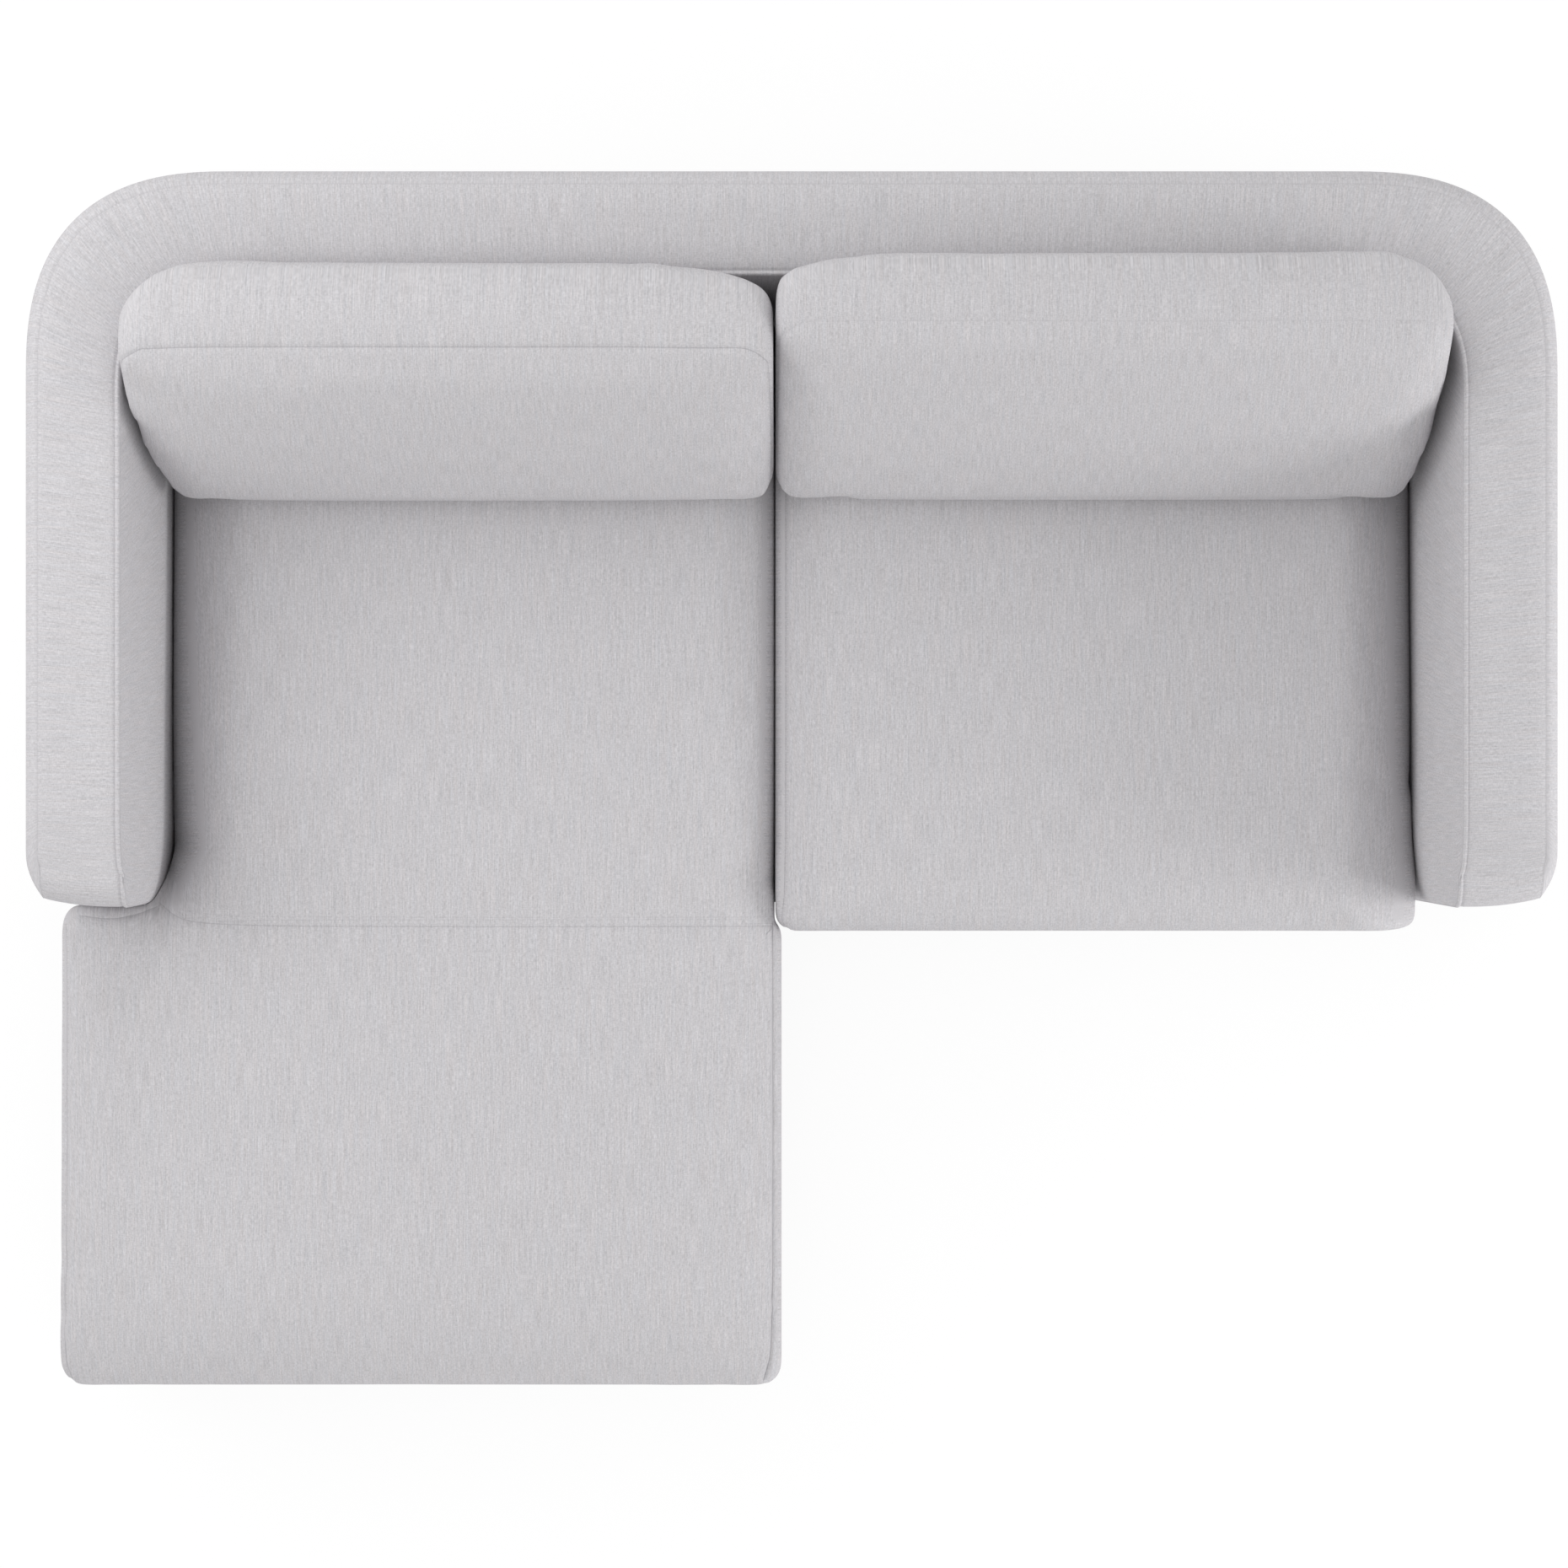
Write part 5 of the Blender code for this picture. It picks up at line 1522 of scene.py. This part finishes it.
@dataclass
class Cushions:
    """The four loose cushions and their zips."""

    wrap: Wrap
    divide: float = -0.0235
    arm_gap: float = 0.0015
    puff: float = 0.006
    seam_drop: float = 0.028
    seam_start: float = 0.05
    seam_foot: float = 0.02
    hidden_seam: float = 0.060
    shoulder_gap: float = 0.0012
    shoulder_ease: float = 0.002
    bulge_start: float = -0.19
    bulge_ease: float = 0.012
    side_bulge: float = 0.009
    back_bulge: float = 0.004
    chaise_bulge: float = -0.0140
    notch: float = 0.085
    seat_bulge: float = 0.8880
    lip: float = 0.003
    arm_fall: tuple[float, float] = (0.086, 0.126)
    divide_fall: tuple[float, float] = (0.034, 0.034)
    back_fall: tuple[float, float] = (0.060, 0.020)
    front_fall: tuple[float, float] = (0.030, 0.010)
    chaise_front_fall: tuple[float, float] = (0.200, 0.062)
    chaise_left_fall: tuple[float, float] = (0.150, 0.034)
    chaise_right_fall: tuple[float, float] = (0.350, 0.032)
    chaise_divide_fall: tuple[float, float] = (0.080, 0.046)

    def side_limit(self, place: Vector) -> float:
        """Says how far aside a seat cushion may reach at a place."""
        return self.wrap.wall_at(place.y, self.wrap.top_z - place.z) - self.arm_gap

    def rear_limit(self, z: float) -> float:
        """Says how far back a seat cushion may reach at a height."""
        return self.wrap.seat_back_y + self.wrap.slope_at(self.wrap.top_z - z) - self.arm_gap

    def right_seat(self) -> SeatCushion:
        """Sizes the right seat cushion."""
        low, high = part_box("right_seat_cover")
        left = self.divide + CLEAR + self.puff
        right = self.wrap.seat_half + self.wrap.wall_ease - self.arm_gap - self.puff
        front = low.y + self.puff
        back = self.wrap.seat_back_y - self.arm_gap - self.puff

        def bound(place: Vector) -> Vector:
            """Keeps a point inside the cushion's room."""
            y = min(place.y, self.rear_limit(place.z))
            widest = min(self.seat_bulge, self.side_limit(place))
            x = min(max(place.x, self.divide + CLEAR), widest)
            return Vector((x, max(y, low.y), min(max(place.z, low.z), high.z)))

        seam_z = high.z - self.seam_drop
        hidden_z = low.z + self.hidden_seam
        foot_z = low.z + self.seam_foot
        start = back - self.seam_start
        wall = [Vector((right + self.puff, y, hidden_z)) for y in steps(start, front + 0.08, 10)]
        wall += [Vector((right + self.puff, front + 0.03, hidden_z - 0.01))]
        wall += [Vector((right - 0.004, front - 0.003, z)) for z in steps(hidden_z - 0.02, foot_z, 4)]
        other = [Vector((left - self.puff, y, seam_z)) for y in steps(start, front + 0.03, 10)]
        other += [Vector((left + 0.010, front - 0.003, z)) for z in steps(seam_z - 0.03, foot_z, 4)]
        return SeatCushion(
            name="right_seat_cushion",
            outline=[(left, front), (right, front), (right, back), (left, back)],
            radii=[0.016, 0.036, 0.030, 0.022],
            bottom_z=low.z,
            top_z=high.z,
            sides=[
                Side((right, front), (right, back), *self.arm_fall, bulge=self.side_bulge),
                Side((right, front - 0.10), (right, 0.0), 0.020, 0.0, bulge=0.032, taper=1.0),
                Side((right, back), (left, back), *self.back_fall, bulge=self.back_bulge),
                Side((left, back), (left, front), *self.divide_fall, bulge=self.side_bulge),
                Side((left, front), (right, front), *self.front_fall, bulge=self.side_bulge, taper=0.35),
            ],
            bound=bound,
            seam_lines=[SeamLine(tuple(wall)), SeamLine(tuple(other))],
            nodes=("right_seat_cover", "right_seat_core"),
        )

    def chaise(self) -> SeatCushion:
        """Sizes the L-shaped cushion of the chaise."""
        low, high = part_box("chaise_cover")
        arm = -(self.wrap.seat_half + self.wrap.wall_ease - self.arm_gap)
        inner = arm + self.puff
        left = low.x + self.puff
        right = self.divide - CLEAR - self.puff
        front = low.y + self.puff
        shoulder_line = self.wrap.front_y - self.shoulder_gap
        shoulder = shoulder_line - self.shoulder_ease
        back = self.wrap.seat_back_y - self.arm_gap - self.puff

        def bound(place: Vector) -> Vector:
            """Keeps a point inside the cushion's room."""
            y = min(place.y, self.rear_limit(place.z))
            past = ease(self.bulge_start - y, 0.0, self.bulge_ease)
            widest = (self.divide - CLEAR) * (1 - past) + self.chaise_bulge * past
            x = min(place.x, widest)
            wall = -self.side_limit(place)
            if y > shoulder_line and x < wall:
                x, y = (wall, y) if wall - x < y - shoulder_line else (x, shoulder_line)
            return Vector((max(x, low.x), max(y, low.y - self.lip), min(max(place.z, low.z), high.z)))

        return SeatCushion(
            name="chaise_cushion",
            outline=[
                (left, front),
                (right, front),
                (right, back),
                (inner, back),
                (inner, shoulder),
                (left, shoulder),
            ],
            radii=[0.027, 0.024, 0.024, 0.030, self.notch, 0.024],
            bottom_z=low.z,
            top_z=high.z,
            sides=[
                Side((left, front), (right, front), *self.chaise_front_fall, bulge=0.014),
                Side((right, front), (right, -0.15), *self.chaise_right_fall, bulge=0.022, softness=0.3),
                Side(
                    (right, self.bulge_start), (right, back), *self.chaise_divide_fall, bulge=self.side_bulge
                ),
                Side((right, back), (inner, back), *self.back_fall, bulge=self.back_bulge),
                Side((inner, back), (inner, shoulder + self.notch), *self.arm_fall),
                Side((inner, shoulder + self.notch), (inner - 0.010, shoulder + 0.040), 0.080, 0.096),
                Side((inner - 0.010, shoulder + 0.040), (inner - 0.026, shoulder + 0.010), 0.062, 0.060),
                Side((inner, back), (inner, shoulder), 0.020, 0.0, bulge=0.012),
                Side((inner, shoulder), (left, shoulder), 0.035, 0.014),
                Side((left, shoulder), (left, front), *self.chaise_left_fall, bulge=0.008),
            ],
            bound=bound,
            seam_lines=self.chaise_seams(low, high),
            nodes=("chaise_cover", "chaise_core"),
        )

    def chaise_seams(self, low: Vector, high: Vector) -> list[SeamLine]:
        """Lists the seams of the chaise cushion."""
        top = high.z

        def over(places: list[tuple[float, float]]) -> tuple[Vector, ...]:
            """Lifts places in plan to the cushion's top."""
            return tuple(Vector((x, y, top)) for x, y in places)

        edge_x = -0.0285
        cross_y = -0.1955
        cross = [(edge_x, cross_y), (-0.25, cross_y), (-0.50, cross_y), (-0.70, cross_y + 0.001)]
        cross += [(-0.783, -0.1925), (-0.8396, -0.1883), (-0.868, -0.1790), (-0.8895, -0.1640)]
        stitch = [(edge_x, -0.1824), (-0.40, -0.1824), (-0.70, -0.1815), (-0.790, -0.1800), (-0.845, -0.1740)]
        rim_x = edge_x + 0.0030
        right = [(rim_x, cross_y), (rim_x, -0.35), (rim_x, -0.55), (rim_x - 0.001, -0.745)]
        right += [(rim_x - 0.005, -0.805), (rim_x - 0.013, -0.8370)]
        corner_x = rim_x - 0.015
        foot_z = low.z + self.seam_foot
        down = [Vector((corner_x, low.y, z)) for z in steps(top - 0.095, foot_z, 3)]
        hug = [(-0.9994, -0.1811), (-0.958, -0.1847), (-0.9225, -0.1788), (-0.8990, -0.1700)]
        left_z = top - 0.040
        left = [Vector((low.x, y, left_z)) for y in steps(-0.20, -0.80, 8)]
        falls = (left_z - 0.03, left_z - 0.07, foot_z)
        left += [Vector((low.x + 0.014, low.y + 0.010, z)) for z in falls]
        # The shade numbers set how dark each seam's painted shade is.
        return [
            SeamLine(over(cross), depth=0.0014, shade=0.6, from_above=True),
            SeamLine(over(stitch), depth=0.0003, puff=0.0, width=0.0025, shade=0.2, from_above=True),
            SeamLine(over(right), depth=0.0024, width=0.0022, shade=1.5, from_above=True),
            SeamLine(tuple(down), depth=0.0018, width=0.0022, shade=1.0),
            SeamLine(over(hug), depth=0.0008, from_above=True),
            SeamLine(tuple(left), depth=0.0014),
        ]

    def back_cushion(self, side: int) -> BackCushion:
        """Sizes the back cushion of one side, -1 for the left and 1 for the right."""
        reach = self.wrap.seat_half + self.wrap.slope - 0.014
        foot_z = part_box("left_back_cover")[0].z
        start = self.divide + side * 0.0015
        if side < 0:
            return BackCushion(
                name="left_back_cushion",
                left=-reach - 0.008,
                right=start - 0.002,
                foot_z=foot_z,
                wrap=self.wrap,
                nodes=("left_back_cover", "left_back_core"),
                left_flare=0.047,
                right_flare=0.0,
                left_limit=-reach - 0.0065,
                right_limit=start,
            )
        return BackCushion(
            name="right_back_cushion",
            left=start + 0.002,
            right=reach - 0.011,
            foot_z=foot_z,
            wrap=self.wrap,
            nodes=("right_back_cover", "right_back_core"),
            left_flare=0.0,
            right_flare=0.028,
            left_limit=start,
            right_limit=reach - 0.008,
            set_back=0.038,
            lean_out=0.66,
            seam_depth=0.0008,
            seam_shade=0.2,
        )

    def build(self, finishes: Finishes) -> None:
        """Builds the cushions and their zips."""
        made = [
            self.right_seat().build(finishes),
            self.chaise().build(finishes),
            self.back_cushion(-1).build(finishes),
            self.back_cushion(1).build(finishes),
        ]
        for piece in made:
            Zip(piece).build(finishes)


@dataclass
class Zip:
    """A zip on the back of a cushion: tape, teeth and a slider."""

    cushion: bpy.types.Object
    tooth_pitch: float = 0.0032
    tooth: tuple[float, float, float] = (0.0018, 0.0012, 0.0040)
    slider: tuple[float, float, float] = (0.0110, 0.0034, 0.0085)
    pull: tuple[float, float, float] = (0.0060, 0.0010, 0.0200)
    tape_width: float = 0.0115
    column: float = 0.012
    tape_lift: float = 0.0004
    tooth_lift: float = 0.0006
    tooth_stagger: float = 0.0007
    slider_inset: float = 0.012
    slider_lift: float = 0.0022
    pull_lift: float = 0.0044
    pull_drop: float = 0.012

    def node(self) -> str:
        """Names the frame's zip that this one stands for."""
        return self.cushion.name.replace("_cushion", "_zip")

    def build(self, finishes: Finishes) -> None:
        """Builds the zip against the cushion's back."""
        low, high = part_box(self.node())
        middle = (low + high) / 2
        bm = bmesh.new()
        bm.from_mesh(self.cushion.data)
        surface = BVHTree.FromBMesh(bm)
        bm.free()

        def back_y(x: float, z: float) -> float:
            """Finds the cushion's back face."""
            hit = surface.ray_cast(Vector((x, high.y + 0.3, z)), Vector((0, -1, 0)))[0]
            return hit.y if hit else high.y

        width = self.tape_width
        cloth = PanelMesh()
        columns = max(8, round((high.x - low.x) / self.column))

        def place(column: int, row: int) -> Spot:
            """Gives the spot of a column and a row."""
            x = low.x + (high.x - low.x) * column / columns
            z = middle.z + width * (row / 2 - 0.5)
            return Spot(Vector((x, back_y(x, z) + self.tape_lift, z)), x, z)

        cloth.add(columns, 2, place)
        tape = cloth.sew(f"{self.node()}_tape")
        turn_to(tape, (0, 1, 0))
        give_wall(tape, THIN_WALL)
        dress(tape, finishes.tape, "zip_tape", self.cushion.name, self.node())
        teeth = self.add_teeth(low.x, high.x, middle.z, back_y)
        dress(teeth, finishes.steel, "zinc_steel", self.cushion.name)

    def add_teeth(
        self, start: float, end: float, z: float, back_y: Callable[[float, float], float]
    ) -> bpy.types.Object:
        """Adds the row of teeth with its slider."""
        bm = bmesh.new()
        count = int((end - start) / self.tooth_pitch)
        for index in range(count):
            x = start + (index + 0.5) * self.tooth_pitch
            rise = self.tooth_stagger if index % 2 else -self.tooth_stagger
            block(bm, self.tooth, (x, back_y(x, z) + self.tooth_lift, z + rise))
        x = start + self.slider_inset
        slider = block(bm, self.slider, (x, back_y(x, z) + self.slider_lift, z))
        pull = block(bm, self.pull, (x, back_y(x, z - 0.010) + self.pull_lift, z - self.pull_drop))
        edges = {edge for vert in slider + pull for edge in vert.link_edges}
        bevel(bm, list(edges), 0.0004, 2)
        teeth = add_piece(f"{self.node()}_teeth", bm)
        sharpen(teeth, 40)
        return teeth


# Bases


@dataclass
class Bases:
    """The cloth on the two bases, their straps, deck cloths and dust covers."""

    strap: float = 0.060
    strap_thickness: float = 0.0011
    wave: float = 0.0008
    corner: float = 0.003
    end_gap: float = 0.0021
    end_turn: float = 0.080
    tuck: float = 0.002
    tuck_height: float = 0.003
    skirt_levels: tuple[float, ...] = (0.0, 0.0008, 0.002, 0.004, 0.02, 0.05, 0.09, 0.12)
    cell: float = 0.03
    fewest_cells: int = 12
    strap_cells: int = 48

    def turn(self) -> list[tuple[float, float]]:
        """Lists how far the points of a rounded corner lie along and across from it."""
        angles = steps(0.0, math.pi / 2, 6)[1:]
        return [(self.corner * (1 - math.cos(a)), self.corner * (1 - math.sin(a))) for a in angles]

    def skirt(self, name: str, path: list[Vector], node: str, finishes: Finishes) -> None:
        """Adds the cloth over a base's upright faces.

        Args:
            name: The piece's name.
            path: The line of its face in plan, from left to right.
            node: The frame's cover that it stands for.
            finishes: The sofa's finishes.
        """
        low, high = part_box(node)
        runs = lengths_along(path)
        cloth = PanelMesh()
        levels = [*self.skirt_levels, high.z - low.z]

        def place(column: int, row: int) -> Spot:
            """Gives the spot of a column and a row, with the lower edge tucked in."""
            height = levels[row]
            tuck = self.tuck * (1 - min(1.0, height / self.tuck_height)) ** 2
            point = path[column]
            way = (path[min(column + 1, len(path) - 1)] - path[max(column - 1, 0)]).normalized()
            inward = Vector((-way.y, way.x))
            spot = point + inward * tuck
            return Spot(Vector((*spot, low.z + height)), runs[column], height)

        cloth.add(len(path) - 1, len(levels) - 1, place)
        piece = cloth.sew(name)
        turn_to(piece, (0, -1, 0), len(piece.data.polygons) // 2)
        give_wall(piece, SKIRT_WALL)
        dress(piece, finishes.panel_cloth, "grey_weave", "frame", node)

    def skirts(self, finishes: Finishes) -> None:
        """Adds the cloth on the fronts of both bases."""
        low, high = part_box("main_base_cover")
        reach = self.corner
        end = high.x + self.end_gap
        line = [Vector((x, low.y)) for x in steps(low.x, end - reach, 40)]
        line += [Vector((end - across, low.y + along)) for along, across in self.turn()]
        line += [Vector((end, y)) for y in steps(low.y + reach, low.y + self.end_turn, 8)[1:]]
        self.skirt("main_base_skirt", line, "main_base_cover", finishes)
        low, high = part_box("chaise_base_cover")
        path = [Vector((low.x, y)) for y in steps(high.y, low.y + reach, 16)]
        path += [Vector((low.x + along, low.y + across)) for along, across in self.turn()]
        path += [Vector((x, low.y)) for x in steps(low.x + reach, high.x - reach, 20)[1:]]
        path += [Vector((high.x - across, low.y + along)) for along, across in self.turn()]
        path += [Vector((high.x, y)) for y in steps(low.y + reach, high.y, 16)[1:]]
        self.skirt("chaise_base_skirt", path, "chaise_base_cover", finishes)

    @staticmethod
    def rail(node: str) -> str:
        """Names the rail that carries a base's cloth."""
        return "chaise_front_rail" if node.startswith("chaise") else "base_front_rail"

    def cloth_sheet(self, name: str, node: str, finishes: Finishes) -> None:
        """Adds a thin cloth stretched over or under a base."""
        low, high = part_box(node)
        columns = max(self.fewest_cells, round((high.x - low.x) / self.cell))
        rows = max(self.fewest_cells, round((high.y - low.y) / self.cell))
        cloth = PanelMesh()

        def place(column: int, row: int) -> Spot:
            """Gives the spot of a column and a row."""
            x = low.x + (high.x - low.x) * column / columns
            y = low.y + (high.y - low.y) * row / rows
            return Spot(Vector((x, y, high.z)), x, y)

        cloth.add(columns, rows, place)
        piece = cloth.sew(name)
        turn_to(piece, (0, 0, 1))
        give_wall(piece, THIN_WALL)
        dress(piece, finishes.lining, "lining_cloth", "frame", node)

    def straps(self, name: str, node: str, finishes: Finishes) -> None:
        """Adds the interlaced straps over one seat bay."""
        low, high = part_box(node)
        cloth = PanelMesh()
        middle_z = (low.z + high.z) / 2

        def places(start: float, end: float) -> list[float]:
            """Lists the middles of the straps between two ends of the bay."""
            bays = max(1, round((end - start - self.strap) / (2 * self.strap)))
            pitch = (end - start - self.strap) / bays
            return [start + self.strap / 2 + pitch * index for index in range(bays + 1)]

        across = places(low.x, high.x)
        along = places(low.y, high.y)
        count = self.strap_cells

        def ribbon(
            centre: float, start: float, end: float, others: list[float], sign: int, swap: bool
        ) -> None:
            """Adds one strap, which goes over and under the straps that cross it."""
            pitch = others[1] - others[0]

            def place(column: int, row: int) -> Spot:
                """Gives the spot of a column and a row."""
                way = start + (end - start) * column / count
                phase = math.pi * (way - others[0]) / pitch
                z = middle_z + sign * self.wave * math.cos(phase)
                aside = (row / 2 - 0.5) * self.strap
                x, y = (centre + aside, way) if swap else (way, centre + aside)
                return Spot(Vector((x, y, z)), way, aside)

            cloth.add(count, 2, place)

        for index, x in enumerate(across):
            ribbon(x, low.y, high.y, along, 1 if index % 2 else -1, True)
        for index, y in enumerate(along):
            ribbon(y, low.x, high.x, across, -1 if index % 2 else 1, False)
        bmesh.ops.recalc_face_normals(cloth.bm, faces=cloth.bm.faces)
        for face in cloth.bm.faces:
            if face.normal.z < 0:
                face.normal_flip()
        piece = add_piece(name, cloth.bm, recalculate=False)
        give_wall(piece, self.strap_thickness)
        dress(piece, finishes.strap, "webbing", "frame", node)

    def build(self, finishes: Finishes) -> None:
        """Builds all the cloth of the bases."""
        self.skirts(finishes)
        self.cloth_sheet("main_deck", "main_deck_cloth", finishes)
        self.cloth_sheet("chaise_deck", "chaise_deck_cloth", finishes)
        self.cloth_sheet("main_bottom_cloth", "main_dust_cover", finishes)
        self.cloth_sheet("chaise_bottom_cloth", "chaise_dust_cover", finishes)
        for bay in ("left", "right", "chaise"):
            self.straps(f"{bay}_straps", f"{bay}_webbing", finishes)
        log.info("bases dressed")


# Legs and timber


@dataclass
class Legs:
    """The moulded legs with their screws, and the felt glides."""

    neck_radius: float = 0.032
    foot_radius: float = 0.024
    flange: float = 0.090
    flange_thickness: float = 0.005
    flange_corner: float = 0.010
    flange_edge: float = 0.0012
    sides: int = 48
    screw_inset: float = 0.011
    screw_radii: tuple[float, float] = (0.0026, 0.0042)
    screw_depth: float = 0.0016
    screw_sink: float = 0.0006
    glide_edge: float = 0.0007

    def leg(self, place: str, finishes: Finishes) -> None:
        """Builds one leg."""
        node = f"{place}_leg"
        low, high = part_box(node)
        centre = (low + high) / 2
        neck_z = high.z - self.flange_thickness
        bm = bmesh.new()
        size = (self.flange, self.flange, self.flange_thickness)
        block(bm, size, (0, 0, (high.z + neck_z) / 2))
        bevel(bm, [edge for edge in bm.edges if height_of(edge) > 0.001], self.flange_corner, 5)
        lower = [edge for edge in bm.edges if max(vert.co.z for vert in edge.verts) < neck_z + 0.001]
        bevel(bm, lower, self.flange_edge, 2)
        profile = [
            (0.0, neck_z + 0.001),
            (self.neck_radius + 0.004, neck_z + 0.001),
            (self.neck_radius + 0.0015, neck_z - 0.002),
            (self.neck_radius, neck_z - 0.005),
            (self.foot_radius + 0.0006, low.z + 0.004),
            (self.foot_radius, low.z + 0.0016),
            (self.foot_radius - 0.0016, low.z),
            (0.0, low.z),
        ]
        points = [bm.verts.new((radius, 0.0, z)) for radius, z in profile]
        edges = [bm.edges.new(pair) for pair in zip(points, points[1:])]
        bmesh.ops.spin(
            bm,
            geom=points + edges,
            cent=(0, 0, 0),
            axis=(0, 0, 1),
            angle=math.tau,
            steps=self.sides,
            use_merge=True,
        )
        bmesh.ops.remove_doubles(bm, verts=bm.verts, dist=0.00002)
        bmesh.ops.translate(bm, verts=bm.verts, vec=(centre.x, centre.y, 0.0))
        piece = add_piece(f"{place}_leg_moulding", bm)
        sharpen(piece, 35)
        dress(piece, finishes.plastic, "black_plastic", "frame", node)
        self.screws(place, centre, neck_z, finishes)

    def screws(self, place: str, centre: Vector, z: float, finishes: Finishes) -> None:
        """Adds the four screw heads under a flange."""
        bm = bmesh.new()
        reach = self.flange / 2 - self.screw_inset
        foot, top = self.screw_radii
        level = z - self.screw_sink
        for x in (-reach, reach):
            for y in (-reach, reach):
                head = bmesh.ops.create_cone(
                    bm, cap_ends=True, segments=20, radius1=foot, radius2=top, depth=self.screw_depth
                )
                bmesh.ops.translate(bm, verts=head["verts"], vec=(centre.x + x, centre.y + y, level))
        piece = add_piece(f"{place}_leg_screws", bm)
        sharpen(piece, 35)
        dress(piece, finishes.steel, "zinc_steel", "frame")

    def glide(self, place: str, finishes: Finishes) -> None:
        """Builds one felt glide with a soft rim."""
        node = f"{place}_glide"
        low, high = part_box(node)
        centre = (low + high) / 2
        radius = (high.x - low.x) / 2
        bm = bmesh.new()
        bmesh.ops.create_cone(
            bm, cap_ends=True, segments=self.sides, radius1=radius, radius2=radius, depth=high.z - low.z
        )
        bmesh.ops.translate(bm, verts=bm.verts, vec=centre)
        bevel(bm, [edge for edge in bm.edges if height_of(edge) < 0.0001], self.glide_edge, 2)
        piece = add_piece(f"{place}_glide_felt", bm)
        sharpen(piece, 40)
        dress(piece, finishes.felt, "felt", "frame", node)

    def build(self, finishes: Finishes) -> None:
        """Builds every leg and glide."""
        for name in sorted(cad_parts):
            if name.endswith("_leg"):
                place = name.removesuffix("_leg")
                self.leg(place, finishes)
                self.glide(place, finishes)
        log.info("legs dressed")


def dress_frame(finishes: Finishes) -> None:
    """Gives the frame's own timber and steel their finishes."""
    for name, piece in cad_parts.items():
        if piece.hide_render:
            continue
        finish = finishes.steel if name.endswith("_connector") else finishes.timber
        piece.data.materials.clear()
        piece.data.materials.append(finish)


# Studio


@dataclass(frozen=True)
class Lamp:
    """A square soft lamp that faces the sofa."""

    name: str
    place: tuple[float, float, float]
    size: float
    power: float

    def build(self) -> None:
        """Adds the lamp."""
        light = bpy.data.lights.new(self.name, "AREA")
        light.size = self.size
        light.energy = self.power
        lamp = bpy.data.objects.new(self.name, light)
        lamp.location = self.place
        lamp.rotation_euler = (-Vector(self.place)).to_track_quat("-Z", "Y").to_euler()
        bpy.context.scene.collection.objects.link(lamp)


@dataclass
class Studio:
    """The floor, the light and the camera."""

    camera_place: tuple[float, float, float] = (-0.0105, 0.0047, 8.0)
    lens: float = 123.87
    sensor: float = 36.0
    ambient: float = 0.775
    lamps: tuple[Lamp, ...] = (
        Lamp("key", (-2.6, 0.6, 2.2), 1.5, 18.3),
        Lamp("back", (-1.5, 3.0, 3.0), 2.4, 31.0),
        Lamp("fill", (4.3, -0.8, 1.6), 1.6, 59.0),
        Lamp("front", (0.5, -4.0, 1.5), 2.2, 19.5),
    )
    floor_half: float = 12.0
    floor_tone: float = 0.86
    floor_glow: float = 0.88
    glow_strength: float = 1.03

    def floor(self) -> None:
        """Adds the pale floor, which keeps the sofa's shadow."""
        bm = bmesh.new()
        bmesh.ops.create_grid(bm, x_segments=1, y_segments=1, size=self.floor_half)
        floor = add_piece("floor", bm)
        finish, graph, shader = open_material("pale_floor", 0.9)
        shader.inputs["Base Color"].default_value = (*[self.floor_tone] * 3, 1.0)
        shader.inputs["Specular IOR Level"].default_value = 0.0
        glow = graph.add("ShaderNodeEmission")
        glow.inputs["Strength"].default_value = self.glow_strength
        share = graph.math("MULTIPLY", seen_rays(graph), self.floor_glow)
        mix = graph.add("ShaderNodeMixShader")
        graph.wire(share, mix.inputs[0])
        graph.wire(shader.outputs[0], mix.inputs[1])
        graph.wire(glow.outputs[0], mix.inputs[2])
        graph.wire(mix.outputs[0], finish.node_tree.nodes["Material Output"].inputs["Surface"])
        floor.data.materials.append(finish)

    def world(self) -> None:
        """Lights the scene evenly, with white behind it."""
        world = bpy.data.worlds.new("studio")
        bpy.context.scene.world = world
        world.use_nodes = True
        graph = Graph(world.node_tree)
        back = world.node_tree.nodes["Background"]
        strength = graph.math("MULTIPLY", seen_rays(graph), 1 - self.ambient)
        graph.wire(graph.math("ADD", strength, self.ambient), back.inputs["Strength"])
        back.inputs["Color"].default_value = (1.0, 1.0, 1.0, 1.0)

    def camera(self) -> None:
        """Adds the camera, high above the sofa and looking straight down."""
        data = bpy.data.cameras.new("camera")
        data.sensor_width = self.sensor
        data.lens = self.lens
        data.clip_end = 100.0
        camera = bpy.data.objects.new("camera", data)
        camera.location = self.camera_place
        bpy.context.scene.collection.objects.link(camera)
        bpy.context.scene.camera = camera

    def build(self) -> None:
        """Builds the studio."""
        bpy.context.scene.view_settings.view_transform = "Standard"
        self.floor()
        self.world()
        for lamp in self.lamps:
            lamp.build()
        self.camera()


def main() -> None:
    """Builds the sofa's looks in order."""
    logging.basicConfig(level=logging.INFO, format="%(name)s: %(message)s")
    finishes = Finishes()
    Studio().build()
    wrap = Wrap.from_frame()
    wrap.build(finishes)
    Cushions(wrap).build(finishes)
    Bases().build(finishes)
    Legs().build(finishes)
    dress_frame(finishes)


if __name__ == "__main__":
    main()
